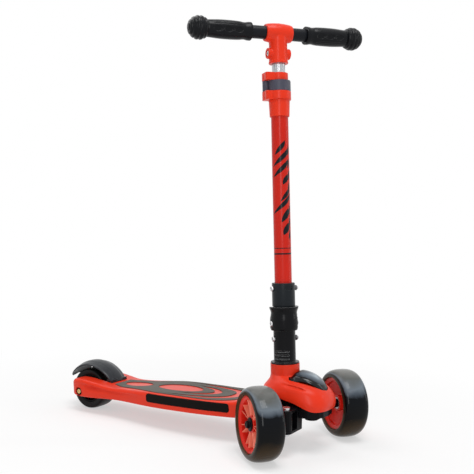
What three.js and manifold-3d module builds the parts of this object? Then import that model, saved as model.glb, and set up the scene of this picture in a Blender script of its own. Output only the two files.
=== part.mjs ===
// Three wheel kids scooter. Millimetres, +Z up. The rider looks along -Y and the rider's left hand is at +X.
// The origin is on the ground, under the middle of the whole scooter as it stands with its bar turned right.
import * as THREE from 'three';
import { mergeVertices } from 'three/addons/utils/BufferGeometryUtils.js';
import Module from 'manifold-3d';

const wasm = await Module();
wasm.setup();

// Driving dimensions. A rise is a height above an axle, the deck's spine or the piece below.
const degree = Math.PI / 180;
const gap = 0.3; // between pieces that seat on each other
const play = 0.6; // round pins and in slots that pieces move in
const overrun = 60; // how far a cutting shape runs past what it cuts
const weld = 1e-4; // vertices closer than this are one
const flatness = 0.01; // faces flatter to each other than this are one
const sides = { tyre: 24, round: 16, small: 8 };

const wheel = { radius: 60, width: 47, seatRadius: 42, lipRadius: 45.4, lipInset: 4, seatInset: 6.5 };
const rim = {
  wall: 3, bore: 10, hubRadius: 13.8, hubHalf: 12.4, dish: 3, ribs: 5, ribWidth: 2.2, ribSlant: 12,
};
const bearing = { outer: 9.7, inner: 4.3, width: 7 };
const cap = { radius: 10.9, wall: 1.5, height: 7.7 };
const axle = { radius: 3.9, headRadius: 6.5, head: 3.6 };

const steering = {
  lock: 39.5, rake: 3, y: 37.3, rise: 79.9, tubeRadius: 12, wall: 2.5, armLength: 24, armRise: 10,
};
const arm = { halfWidth: 6, thickness: 4, pinRadius: 3, pinLength: 7.5 };
const kingpin = { reach: 67.5, offset: 45, radius: 4, headRadius: 7, head: 4 };
const knuckle = { radius: 11, height: 29, bossRadius: 8 };
const fork = { plate: 4, halfWidth: 11.2, postIn: 32, postOut: 47, beamDrop: 2.6 };
const rod = { thickness: 3.5, halfWidth: 5, eye: 6.5, drop: 2.6 };
const core = { front: 34.5, rear: 65.5, halfWidth: 35, clearance: 2.6, floor: 4, depth: 21, wall: 3.2 };
const tongue = { halfWidth: 24, drop: 10.5, step: 1.5, length: 62 };
const skirt = { inset: 1.4, low: 1.5, rear: 11, wall: 3 };
const head = {
  radius: 21, bore: 15, drop: 11, bushWall: 2.3, bushLength: 14, flange: 17.5, flangeDepth: 1.4,
};

const cowl = {
  front: 51, rear: 67.5, halfWidth: 46, low: 13, wall: 2.6, collarRadius: 25, collarHeight: 18,
  riseFrom: 45, riseTo: 132,
};
const visor = {
  front: 41.8, halfWidth: 28.2, turn: 52, edge: 0.9, proud: 1, wall: 3,
  dome: 17, domeLength: 31, domeWidth: 28, domeAhead: 8, domeDrop: 9.5,
};

const deck = {
  halfWidth: 62, tail: 21.7, frontRise: 12.3, rearRise: 8.2, rise: 26, depth: 26, wall: 3.4,
  topRound: 6, bottomRound: 3, taper: 2, rib: 2.4, ribs: 4, ribFront: 84,
};
const mat = { front: 34, rear: 9, border: 6.5, depth: 1.1, proud: 1.1 };
const strip = {
  front: 49, length: 173, height: 15, frontDrop: 8.8, rearDrop: 4.3, round: 4, proud: 0.9, depth: 1.4,
};

const rearWheel = { y: 460.3, radius: 40, width: 41, bore: 27, slot: 46.8, slotRoom: 21.3, inset: 2 };
const rearHub = { wall: 3, radius: 15, web: 3 };
const rearBolt = { radius: 4, halfLength: 48.5, headRadius: 6.5, head: 4, recess: 8.5, tail: 1 };
const fender = {
  radius: 55, halfWidth: 25, footHalfWidth: 22.6, crown: 4.4, wall: 2.6, pivotBack: 48.8, pivotRise: 14.7,
  barrel: 5.2, pin: 2.4, pinGrip: 10.4, webRise: 24.7, shoeGap: 5, shoeHalfWidth: 13, shoeLength: 22,
};
const brakeSpring = { coils: 5, wire: 1.3, radius: 4.1, pitch: 2, leg: 5 };

const base = {
  spigot: 16, flange: 24.4, flangeDepth: 3.1, sleeve: 18.8, sleeveLength: 53.4,
  housing: 24.2, housingLength: 40.5, waist: 22.6, mouth: 25.3, well: 54, boltRise: 39.1,
  slots: 3, slotPitch: 6.2, slotHeight: 2.2, slotDepth: 1.2, slotRise: 5,
};
const hinge = { rise: 11.5, eye: 12, halfWidth: 10.5, headSeat: 21.6 };
const bolt = { radius: 2.5, headRadius: 4.8, head: 3.4, nutRadius: 5, nut: 4, tail: 3 };
const lever = { seat: 18.6, thickness: 3, halfWidth: 6, halfLength: 12, lip: 2.2, nut: 2.4 };
const leverSpring = { coils: 2, wire: 1, radius: 4.6, pitch: 1.6, leg: 0.5, room: 4.6 };
const socket = { radius: 19.7, length: 39.9, floor: 3.4, boltDrop: 9.3 };

const outerTube = { radius: 14.8, bore: 12.8, length: 361 };
const innerTube = {
  radius: 11.3, bore: 9.8, length: 241, flutes: 8, fluteDepth: 0.5, fluteWidth: 2.2, shown: 16.5,
};
const guide = { length: 14, wall: 0.9 };
const collar = {
  neckBottom: 16, neckTop: 19.2, neck: 28.2, lower: 14.8, band: 18.2, upper: 13, seat: 41.2,
  lowerRadius: 20.4, upperRadius: 16, coreRadius: 14.9, blockReach: 27.4, blockHalfWidth: 11, slot: 2,
};
const band = { inner: 15.4, wall: 4.2, end: -10, endRadius: 2.6, eye: 6, pinX: 22, pinY: 5, pin: 2.4 };
const tee = {
  height: 52.2, sleeve: 16.2, lip: 16.8, lipHeight: 3, tubeDepth: 29.5, boltRise: 17.1, bossRadius: 9.3,
  bossReach: 20.5, wellRadius: 6, well: 4.4, barrel: 16.9, barrelEnd: 14.3, barrelHalf: 24,
};
const bar = { radius: 11, wall: 1.6, half: 137 };
const grip = {
  inner: 50.5, flangeLength: 11.5, flangeRadius: 15.4, neckLength: 2, waist: 14.2, swell: 15.8,
  ballCentre: 141, ballRadius: 19.8, rings: 5, ringDepth: 1.1,
};

// Levels and places that follow from the sizes
const rake = steering.rake * degree;
const lock = steering.lock * degree;
// A wheel stands on a flat between two corners of its outline, so its axle is this far above the ground.
const standing = (radius) => radius * Math.cos(Math.PI / sides.tyre);
const axleZ = standing(wheel.radius);
const rearAxleZ = standing(rearWheel.radius);
const topZ = axleZ + steering.rise;
const steeringAt = [0, steering.y, topZ];
// A height above the ground as a distance along the steering axis, and the axis's y at that height.
const alongAxis = (z) => (z - topZ) / Math.cos(rake);
const axisYAt = (z) => steering.y + (z - topZ) * Math.tan(rake);
const knuckleLow = axleZ - knuckle.height / 2;
const knuckleHigh = axleZ + knuckle.height / 2;
const forkLow = knuckleLow - gap - fork.plate;
const forkHigh = knuckleHigh + gap + fork.plate;
const beamLow = axleZ - fork.beamDrop;
const armTop = axleZ + steering.armRise;
const rodTop = armTop - arm.thickness - rod.drop;
const floorZ = armTop + core.clearance;
const coreHalf = (core.front + core.rear) / 2;
const coreY = (core.rear - core.front) / 2;
const cowlLow = axleZ + cowl.low;
const skirtLow = axleZ + skirt.low;
const collarLow = topZ - cowl.collarHeight;
const deckFront = core.rear + gap * 2;
const deckLength = rearWheel.y + deck.tail - deckFront;
const slotHalf = rearWheel.slot / 2;
const slotFront = rearWheel.y - rearWheel.radius - rearWheel.slotRoom;
const rearBearingOut = slotHalf - play;
const pivotY = rearWheel.y - fender.pivotBack;
const pivotZ = rearAxleZ + fender.pivotRise;
// Heights along the steering axis, from the top of the cowl
const housingLow = base.flangeDepth + base.sleeveLength;
const hingeHeight = housingLow + hinge.rise;
const baseTop = housingLow + base.housingLength;
const baseBoltHeight = base.flangeDepth + base.boltRise;
const socketLow = baseTop + gap;
const socketTop = socketLow + socket.length;
const socketBoltHeight = socketTop - socket.boltDrop;
const outerLow = socketLow + socket.floor + gap;
const outerTop = outerLow + outerTube.length;
const collarStart = outerTop - collar.seat;
const flangeLow = collarStart + collar.neck;
const bandLow = flangeLow + collar.lower;
const bandTop = bandLow + collar.band;
const collarTop = bandTop + collar.upper;
const teeLow = collarTop + innerTube.shown;
const innerTop = teeLow + tee.tubeDepth;
const innerLow = innerTop - innerTube.length;
const teeBoltHeight = teeLow + tee.boltRise;
const barHeight = teeLow + tee.height;

// Materials
function paint(color, roughness, metalness = 0) {
  return new THREE.MeshStandardMaterial({ color, roughness, metalness });
}
const red = paint(0xe8321f, 0.35);
const tubeRed = paint(0xc8200f, 0.3, 0.2);
const black = paint(0x141416, 0.5);
const darkGrey = paint(0x33363a, 0.55);
const rubber = paint(0x1c1c1e, 0.85);
const smoke = paint(0x1a1714, 0.15);
const steel = paint(0xb9bcc0, 0.3, 1);
const brass = paint(0xb08d4a, 0.35, 1);
const aluminium = paint(0xcfd2d6, 0.3, 1);

// Solids: closed meshes that can be joined and cut
function solidOf(geometry) {
  const bare = geometry.clone();
  bare.deleteAttribute('normal');
  bare.deleteAttribute('uv');
  const merged = mergeVertices(bare, weld);
  const points = merged.getAttribute('position');
  const index = merged.index.array;
  const faces = [];
  let volume = 0;
  const [a, b, c] = [new THREE.Vector3(), new THREE.Vector3(), new THREE.Vector3()];
  for (let i = 0; i < index.length; i += 3) {
    const [p, q, r] = [index[i], index[i + 1], index[i + 2]];
    if (p === q || q === r || r === p) continue;
    faces.push(p, q, r);
    a.fromBufferAttribute(points, p);
    b.fromBufferAttribute(points, q);
    c.fromBufferAttribute(points, r);
    volume += a.dot(b.cross(c));
  }
  if (volume < 0) {
    for (let i = 0; i < faces.length; i += 3) {
      [faces[i + 1], faces[i + 2]] = [faces[i + 2], faces[i + 1]];
    }
  }
  const vertProperties = new Float32Array(points.array);
  const mesh = new wasm.Mesh({ numProp: 3, vertProperties, triVerts: new Uint32Array(faces) });
  return new wasm.Manifold(mesh);
}

function geometryOf(solid) {
  const mesh = solid.asOriginal().simplify(flatness).getMesh();
  const geometry = new THREE.BufferGeometry();
  geometry.setAttribute('position', new THREE.BufferAttribute(new Float32Array(mesh.vertProperties), 3));
  geometry.setIndex(new THREE.BufferAttribute(new Uint32Array(mesh.triVerts), 1));
  geometry.computeVertexNormals();
  return geometry;
}

const join = (first, ...rest) => rest.reduce((sum, next) => sum.add(next), first);
const cut = (first, ...rest) => rest.reduce((left, next) => left.subtract(next), first);

// Shapes, each returned as a solid. Ranges are [low, high].
function block([x0, x1], [y0, y1], [z0, z1]) {
  const geometry = new THREE.BoxGeometry(x1 - x0, y1 - y0, z1 - z0);
  return solidOf(geometry.translate((x0 + x1) / 2, (y0 + y1) / 2, (z0 + z1) / 2));
}

// A body of revolution, made along +Z and laid along the named axis. Its outline holds [radius, height]
// pairs, and either both ends are on the axis or it closes on itself.
function turned(outline, count, axis = 'z', [x, y, z] = [0, 0, 0]) {
  const points = outline.map(([radius, height]) => new THREE.Vector2(radius, height));
  const geometry = new THREE.LatheGeometry(points, count, Math.PI / count).rotateX(Math.PI / 2);
  if (axis === 'x') geometry.rotateY(Math.PI / 2);
  return solidOf(geometry.translate(x, y, z));
}

const disc = (radius, [low, high], count = sides.round, axis = 'z', at = [0, 0, 0]) =>
  turned([[0, low], [radius, low], [radius, high], [0, high]], count, axis, at);

const ring = (inner, outer, [low, high], count = sides.round, axis = 'z', at = [0, 0, 0]) =>
  turned([[inner, low], [outer, low], [outer, high], [inner, high], [inner, low]], count, axis, at);

// A prism of a closed 2-D outline, from z0 to z1 along +Z.
function prism(outline, [z0, z1]) {
  const shape = outline instanceof THREE.Shape ? outline : new THREE.Shape(outline);
  const geometry = new THREE.ExtrudeGeometry(shape, { depth: z1 - z0, bevelEnabled: false });
  return solidOf(geometry.translate(0, 0, z0));
}

// A plate outline with round ends about two centres.
function stadium([ax, ay], [bx, by], radius, count = sides.round) {
  const along = Math.atan2(by - ay, bx - ax);
  const half = count / 2;
  const points = [];
  for (const [x, y, start] of [[ax, ay, along + Math.PI / 2], [bx, by, along - Math.PI / 2]]) {
    for (let i = 0; i <= half; i += 1) {
      const turn = start + (i / half) * Math.PI;
      points.push(new THREE.Vector2(x + radius * Math.cos(turn), y + radius * Math.sin(turn)));
    }
  }
  return points;
}

function ellipse([x, y], halfX, halfY, count) {
  return Array.from({ length: count }, (_, i) => {
    const turn = (i / count) * 2 * Math.PI;
    return new THREE.Vector2(x + halfX * Math.cos(turn), y + halfY * Math.sin(turn));
  });
}

function meshOf(positions, index) {
  const geometry = new THREE.BufferGeometry();
  geometry.setAttribute('position', new THREE.BufferAttribute(new Float32Array(positions), 3));
  geometry.setIndex(index);
  return solidOf(geometry);
}

// The walls between neighbouring loops of equally many points.
function wallsOf(loops, rows) {
  const count = loops[0].length;
  const index = [];
  for (let i = 0; i < rows; i += 1) {
    const here = i * count;
    const next = ((i + 1) % loops.length) * count;
    for (let j = 0; j < count; j += 1) {
      const k = (j + 1) % count;
      index.push(here + j, here + k, next + k, here + j, next + k, next + j);
    }
  }
  return { positions: loops.flatMap((loop) => loop.flatMap((p) => [p.x, p.y, p.z])), index };
}

// A closed skin over loops, with a fan over each end.
function skinned(loops) {
  const count = loops[0].length;
  const { positions, index } = wallsOf(loops, loops.length - 1);
  for (const [row, flip] of [[0, true], [loops.length - 1, false]]) {
    const centre = loops[row].reduce((sum, p) => sum.add(p), new THREE.Vector3()).divideScalar(count);
    const middle = positions.length / 3;
    positions.push(centre.x, centre.y, centre.z);
    for (let j = 0; j < count; j += 1) {
      const [p, q] = [row * count + j, row * count + ((j + 1) % count)];
      index.push(...(flip ? [middle, q, p] : [middle, p, q]));
    }
  }
  return meshOf(positions, index);
}

// A tube-like skin whose last loop joins the first.
function closedSkin(loops) {
  const { positions, index } = wallsOf(loops, loops.length);
  return meshOf(positions, index);
}

// A bent sheet: each loop runs across the outside and back across the inside.
function sheet(loops) {
  const count = loops[0].length;
  const { positions, index } = wallsOf(loops, loops.length - 1);
  for (const [row, flip] of [[0, true], [loops.length - 1, false]]) {
    for (let j = 0; j < count / 2 - 1; j += 1) {
      const [a, b] = [row * count + j, row * count + j + 1];
      const [c, d] = [row * count + count - 2 - j, row * count + count - 1 - j];
      index.push(...(flip ? [a, c, b, a, d, c] : [a, b, c, a, c, d]));
    }
  }
  return meshOf(positions, index);
}

// A round wire along a helix round +Z with a straight leg at each end. Its middle is at the origin.
function coilSpring({ coils, wire, radius, pitch, leg }) {
  const stepsPerCoil = 8;
  const wireSides = 5;
  const points = Array.from({ length: coils * stepsPerCoil + 1 }, (_, i) => {
    const turns = i / stepsPerCoil;
    const turn = turns * 2 * Math.PI;
    return new THREE.Vector3(radius * Math.cos(turn), radius * Math.sin(turn), pitch * (turns - coils / 2));
  });
  const [first, last] = [points[0], points[points.length - 1]];
  points.unshift(new THREE.Vector3(first.x, first.y - leg, first.z));
  points.push(new THREE.Vector3(last.x, last.y + leg, last.z));
  const loops = points.map((point, i) => {
    const before = points[Math.max(i - 1, 0)];
    const after = points[Math.min(i + 1, points.length - 1)];
    const ahead = after.clone().sub(before).normalize();
    const out = new THREE.Vector3(ahead.y, -ahead.x, 0).normalize();
    const up = new THREE.Vector3().crossVectors(ahead, out);
    return Array.from({ length: wireSides }, (_, side) => {
      const turn = (side / wireSides) * 2 * Math.PI;
      return point.clone()
        .addScaledVector(out, (wire / 2) * Math.cos(turn))
        .addScaledVector(up, (wire / 2) * Math.sin(turn));
    });
  });
  let least = Infinity;
  for (let i = 0; i < points.length; i += 1) {
    for (let j = i + stepsPerCoil - 1; j < points.length; j += 1) {
      least = Math.min(least, points[i].distanceTo(points[j]) - wire);
    }
  }
  console.log(`spring of ${coils} coils: least gap to itself ${least.toFixed(2)} mm`);
  return skinned(loops);
}

// Turns a solid made along +Z so that it lies along +X, at a place.
function layAlongX(solid, at) {
  const matrix = new THREE.Matrix4().makeRotationY(Math.PI / 2).setPosition(...at);
  return solid.transform(matrix.elements);
}

// Scene graph. The column's groups have +Z up the steering axis and 0 at the top of the cowl.
const scooter = new THREE.Group();

function group(parent, at = [0, 0, 0]) {
  const made = new THREE.Group();
  made.position.set(...at);
  parent.add(made);
  return made;
}

function add(parent, name, solid, material) {
  const mesh = new THREE.Mesh(geometryOf(solid), material);
  mesh.name = name;
  parent.add(mesh);
}

const raked = group(scooter, steeringAt);
raked.rotation.x = -rake;
const column = group(raked);
column.rotation.z = -lock;

// Deck: cross-sections from front to rear, as shares of the length, the half width, the rise above the
// deck's straight spine and the depth below it.
const deckShares = [
  [0, 0.55, 1, 0.385],
  [0.014, 0.63, 0.782, 0.603],
  [0.034, 0.71, 0.493, 0.815],
  [0.058, 0.79, 0.265, 0.966],
  [0.094, 0.865, 0.137, 0.971],
  [0.142, 0.92, 0.085, 0.961],
  [0.226, 0.976, 0.074, 0.938],
  [0.322, 1, 0.12, 0.91],
  [0.418, 1, 0.171, 0.875],
  [0.514, 0.968, 0.194, 0.841],
  [0.587, 0.911, 0.176, 0.812],
  [0.647, 0.847, 0.147, 0.788],
  [0.707, 0.806, 0.137, 0.759],
  [0.767, 0.798, 0.173, 0.742],
  [0.827, 0.823, 0.333, 0.744],
  [0.88, 0.839, 0.474, 0.749],
  [0.923, 0.839, 0.567, 0.74],
  [0.959, 0.815, 0.585, 0.707],
  [0.986, 0.758, 0.517, 0.629],
  [1, 0.661, 0.392, 0.5],
];
const deckRows = deckShares.map(([along]) => deckFront + along * deckLength);
const alongDeck = (y) => THREE.MathUtils.clamp((y - deckFront) / deckLength, 0, 1);
const spineAt = (y) => THREE.MathUtils.lerp(axleZ + deck.frontRise, rearAxleZ + deck.rearRise, alongDeck(y));

function deckAt(y) {
  const share = alongDeck(y);
  const next = Math.max(1, deckShares.findIndex(([along]) => along >= share));
  const [low, high] = [deckShares[next - 1], deckShares[next]];
  const part = (share - low[0]) / (high[0] - low[0]);
  const [, width, up, down] = low.map((value, i) => value + (high[i] - value) * part);
  return {
    halfWidth: width * deck.halfWidth,
    top: spineAt(y) + up * deck.rise,
    bottom: spineAt(y) - down * deck.depth,
  };
}

// The deck's outer shape moved inwards by inset, with its bottom raised by a distance of its own.
function deckForm(inset, bottomInset = inset, rows = deckRows) {
  const { topRound, bottomRound, taper } = deck;
  const quarter = [0, Math.PI / 4, Math.PI / 2];
  return skinned(rows.map((y) => {
    const at = deckAt(y);
    const wide = at.halfWidth - inset;
    const low = wide - taper;
    const top = at.top - inset;
    const bottom = at.bottom + bottomInset;
    const half = [
      ...quarter.map((a) => [wide - topRound * (1 - Math.sin(a)), top - topRound * (1 - Math.cos(a))]),
      ...quarter.map((a) => [
        low - bottomRound * (1 - Math.cos(a)), bottom + bottomRound * (1 - Math.sin(a)),
      ]),
    ];
    const mirrored = half.map(([x, z]) => [-x, z]).reverse();
    return [...half, ...mirrored].map(([x, z]) => new THREE.Vector3(x, y, z));
  }));
}

// A slab that follows the deck's top, from low to high above it.
function topSlab(low, high) {
  const reach = deck.halfWidth + overrun;
  return skinned(deckRows.map((y) => {
    const { top } = deckAt(y);
    return [[reach, low], [reach, high], [-reach, high], [-reach, low]]
      .map(([x, lift]) => new THREE.Vector3(x, y, top + lift));
  }));
}

// Outline of the grip mat: it follows the deck's edge, and its rows are shares of the width it has room
// for, from its front end to its rear end, where it narrows.
const matFront = deckFront + mat.front;
const matLength = slotFront - mat.rear - matFront;
const matReach = (y) => deckAt(y).halfWidth - mat.border;
const matShares = [0.62, 0.9, 0.98, 1, 1, 1, 1, 1, 0.94, 0.85, 0.8, 0.76, 0.55];
function matOutline(grow) {
  const steps = matShares.length - 1;
  const right = matShares.map((share, i) => {
    const y = matFront - grow + (i / steps) * (matLength + 2 * grow);
    return new THREE.Vector2((matReach(y) + grow) * share, y);
  });
  const left = right.map((p) => new THREE.Vector2(-p.x, p.y)).reverse();
  return new THREE.Shape([...right, ...left]);
}

// Windows in the mat, in shares of its length and its half width there: ovals down its middle, as place,
// half length and half width; and bows that open backwards, one within the other, as place of the ends,
// length, half width, thickness in front, thickness at the sides and square. A bow thins out to its ends.
const ovalShares = [[0.525, 0.165, 0.43], [0.86, 0.105, 0.38]];
const bowShares = [[0.47, 0.25, 0.59, 0.055, 0.13, 2], [0.63, 0.575, 0.9, 0.075, 0.17, 3]];
function matWindows() {
  const at = (across, along) => {
    const y = matFront + along * matLength;
    return new THREE.Vector2(across * matReach(y), y);
  };
  const ovals = ovalShares.map(([along, half, across]) => {
    const { y } = at(0, along);
    return ellipse([0, y], across * matReach(y), half * matLength, sides.round);
  });
  const steps = 10;
  const places = Array.from({ length: steps + 1 }, (_, i) => (2 * i) / steps - 1);
  const bows = bowShares.map(([along, length, halfWidth, thickFront, thickSide, square]) => {
    const spot = (t, thin) => {
      const [across, ahead] = squared((t * Math.PI) / 2, square);
      return at(across * (halfWidth - thin * thickSide), along - ahead * (length - thin * thickFront));
    };
    const outer = places.map((t) => spot(t, 0));
    const inner = places.slice(1, -1).map((t) => spot(t, 1 - t ** 4));
    return [...outer, ...inner.reverse()];
  });
  return [...ovals, ...bows];
}

function gripMat() {
  const outline = matOutline(0);
  outline.holes = matWindows().map((points) => new THREE.Path(points));
  return prism(outline, [0, topZ]).intersect(topSlab(gap - mat.depth, mat.proud));
}

// The side strips are long bars with round corners, seen from the side, on the deck's flanks.
function stripColumn(side, grow) {
  const front = deckFront + strip.front;
  const rear = front + strip.length;
  const frontMid = spineAt(front) - strip.frontDrop;
  const rearMid = spineAt(rear) - strip.rearDrop;
  const half = strip.height / 2 - strip.round;
  const corners = [
    [front + strip.round, frontMid - half, 180],
    [rear - strip.round, rearMid - half, 270],
    [rear - strip.round, rearMid + half, 0],
    [front + strip.round, frontMid + half, 90],
  ];
  const reach = strip.round + grow;
  const points = corners.flatMap(([y, z, start]) => [0, 45, 90].map((turn) => {
    const angle = (start + turn) * degree;
    return new THREE.Vector2(y + reach * Math.cos(angle), z + reach * Math.sin(angle));
  }));
  const startShare = 0.8;
  const start = deck.halfWidth * startShare;
  const range = side > 0 ? [start, start + overrun] : [-start - overrun, -start];
  // The outline's x and y become the scooter's y and z, and the prism runs along x.
  const [alongX, alongY, alongZ] = [[1, 0, 0], [0, 1, 0], [0, 0, 1]].map((way) => new THREE.Vector3(...way));
  const matrix = new THREE.Matrix4().makeBasis(alongY, alongZ, alongX);
  return prism(points, range).transform(matrix.elements);
}

const sideStrip = (side) =>
  cut(deckForm(-strip.proud), deckForm(strip.depth)).intersect(stripColumn(side, 0));

function deckBody() {
  const across = [-deck.halfWidth, deck.halfWidth];
  const hollowRear = slotFront - deck.wall * 3;
  const hollow = deckForm(deck.wall, -overrun, [deckFront - overrun, ...deckRows])
    .intersect(block(across, [-overrun, hollowRear], [-overrun, topZ]));
  const ribFront = deckFront + deck.ribFront;
  const ribs = Array.from({ length: deck.ribs }, (_, i) => {
    const y = ribFront + (i * (hollowRear - ribFront)) / deck.ribs;
    return block(across, [y, y + deck.rib], [0, topZ]);
  });
  const spine = block([-deck.rib / 2, deck.rib / 2], [ribFront, hollowRear], [0, topZ]);
  const ribbed = join(spine, ...ribs).intersect(deckForm(deck.wall / 2, deck.wall));
  const matPocket = prism(matOutline(gap), [0, topZ]).intersect(topSlab(-mat.depth, overrun));
  const underStrip = deckForm(strip.depth + gap);
  const stripPockets = [-1, 1].map((side) => cut(stripColumn(side, gap), underStrip));
  const slot = block([-slotHalf, slotHalf], [slotFront, rearWheel.y + overrun], [-overrun, topZ]);
  const axleAt = [0, rearWheel.y, rearAxleZ];
  const axleHole = disc(rearBolt.radius + gap, across, sides.small, 'x', axleAt);
  const wellFloor = rearBolt.halfLength - rearBolt.head - gap;
  const wells = [[wellFloor, deck.halfWidth], [-deck.halfWidth, -wellFloor]]
    .map((range) => disc(rearBolt.recess, range, sides.round, 'x', axleAt));
  const pinReach = slotHalf + fender.pinGrip + gap;
  const pinHole = disc(fender.pin + gap, [-pinReach, pinReach], sides.small, 'x', [0, pivotY, pivotZ]);
  const whole = join(cut(deckForm(0), hollow), ribbed);
  return cut(whole, matPocket, ...stripPockets, slot, axleHole, ...wells, pinHole);
}

// Sine and cosine of a turn, pushed out towards the corners of a square. 2 leaves them as they are.
function squared(turn, square) {
  return [Math.sin(turn), Math.cos(turn)].map((v) => Math.sign(v) * Math.abs(v) ** (2 / square));
}

// Front cowl: rings from the collar down to the lower edge. Each row holds the ring's front end, rear end
// and half width as shares of the cowl's, the heights of its front and rear as shares of the fall from the
// collar to the lower edge, and how square it is: 2 is an ellipse in a plane, and 3 has full corners and an
// edge that steps up beside the axle.
const cowlShares = [
  [0.06, 0.919, 0.673, 0.947, 0.865, 2],
  [0.47, 0.956, 0.815, 0.833, 0.76, 2.2],
  [0.8, 0.985, 0.91, 0.637, 0.688, 2.5],
  [0.965, 1, 0.965, 0.385, 0.637, 2.8],
  [1, 1, 0.995, 0.165, 0.59, 3],
  [0.965, 0.993, 1, 0, 0.543, 3],
];

const cowlRows = cowlShares.map(([front, rear, width, frontShare, rearShare, square]) => ({
  y: (rear * cowl.rear - front * cowl.front) / 2,
  length: (rear * cowl.rear + front * cowl.front) / 2,
  halfWidth: width * cowl.halfWidth,
  front: THREE.MathUtils.lerp(cowlLow, collarLow, frontShare),
  rear: THREE.MathUtils.lerp(cowlLow, collarLow, rearShare),
  square,
}));

// One ring of the cowl, grown outwards by a distance.
function cowlRing(row, grow, lift = 0) {
  return Array.from({ length: sides.tyre }, (_, i) => {
    const turn = (i / sides.tyre) * 2 * Math.PI;
    const [across, along] = squared(turn, row.square);
    const beside = Math.min(turn, 2 * Math.PI - turn) / degree;
    const stepUp = THREE.MathUtils.smoothstep(beside, cowl.riseFrom, cowl.riseTo);
    const share = THREE.MathUtils.lerp((1 - Math.cos(turn)) / 2, stepUp, row.square - 2);
    const z = THREE.MathUtils.lerp(row.front, row.rear, share);
    return new THREE.Vector3((row.halfWidth + grow) * across, row.y - (row.length + grow) * along, z + lift);
  });
}

function cowlLoops(grow) {
  const lean = cowl.collarRadius * Math.tan(rake);
  const { collarRadius } = cowl;
  const collarRow = (z) => ({
    y: axisYAt(z), length: collarRadius, halfWidth: collarRadius, front: z + lean, rear: z - lean, square: 2,
  });
  const collar = [topZ, collarLow].map((z) => cowlRing(collarRow(z), grow));
  const rows = cowlRows.map((row, i) => cowlRing(row, grow, i < cowlRows.length / 2 ? grow : 0));
  return [...collar, ...rows];
}

// The visor's outline from above: a shield in front of the collar. The rows are shares of its half width
// and of the way back from its front tip, and the arc's are shares of its turn round the collar.
const arcShares = [-1, -0.67, -0.33, 0, 0.33, 0.67, 1];
const shieldShares = [[1, 0.93], [0.97, 0.72], [0.86, 0.46], [0.66, 0.22], [0.4, 0.06], [0, 0]];
function visorOutline(grow) {
  const collarY = axisYAt(collarLow);
  const clear = cowl.collarRadius + cowl.wall - grow;
  const reach = visor.turn * degree + grow / clear;
  const arc = arcShares.map((share) => new THREE.Vector2(
    clear * Math.sin(share * reach), collarY - clear * Math.cos(share * reach),
  ));
  const front = -visor.front - grow;
  const down = shieldShares.map(([across, along]) => new THREE.Vector2(
    across * (visor.halfWidth + grow), THREE.MathUtils.lerp(front, arc[0].y, along),
  ));
  const up = down.slice(0, -1).reverse().map((p) => new THREE.Vector2(-p.x, p.y));
  return new THREE.Shape([...arc, ...down, ...up]);
}

// The visor's dome rises towards the collar: it is sheared by its slope.
const domeSlope = 0.28;
function visorDome(inset) {
  const geometry = new THREE.SphereGeometry(1, sides.round, sides.small).rotateX(Math.PI / 2);
  geometry.scale(visor.domeWidth - inset, visor.domeLength - inset, visor.dome - inset);
  geometry.applyMatrix4(new THREE.Matrix4().makeShear(0, 0, 0, domeSlope, 0, 0));
  return solidOf(geometry.translate(0, -visor.domeAhead, collarLow - visor.domeDrop));
}

function visorBody() {
  const above = prism(visorOutline(-visor.edge), [(cowlLow + collarLow) / 2, topZ]);
  const outer = join(skinned(cowlLoops(visor.proud)), visorDome(0));
  const inner = join(skinned(cowlLoops(visor.proud - visor.wall)), visorDome(visor.wall));
  return cut(outer, inner).intersect(above);
}

function frontCowl() {
  const forkHalf = fork.halfWidth + play;
  const forkRoom = block([-kingpin.reach, kingpin.reach], [-forkHalf, forkHalf], [0, forkHigh + play]);
  const window = prism(visorOutline(0), [cowlLow, topZ + overrun]);
  const skin = closedSkin([...cowlLoops(0), ...cowlLoops(-cowl.wall).reverse()]);
  return cut(skin, window, forkRoom);
}

// Chassis: a tub with the head tube, an axle beam that ends in two forks, a front skirt, and a tongue that
// goes into the hollow deck.
function leanAlongAxis(solid) {
  const matrix = new THREE.Matrix4().makeRotationX(-rake).setPosition(...steeringAt);
  return solid.transform(matrix.elements);
}

const oval = (y, length, halfWidth, range) => prism(ellipse([0, y], halfWidth, length, sides.tyre), range);

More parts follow.
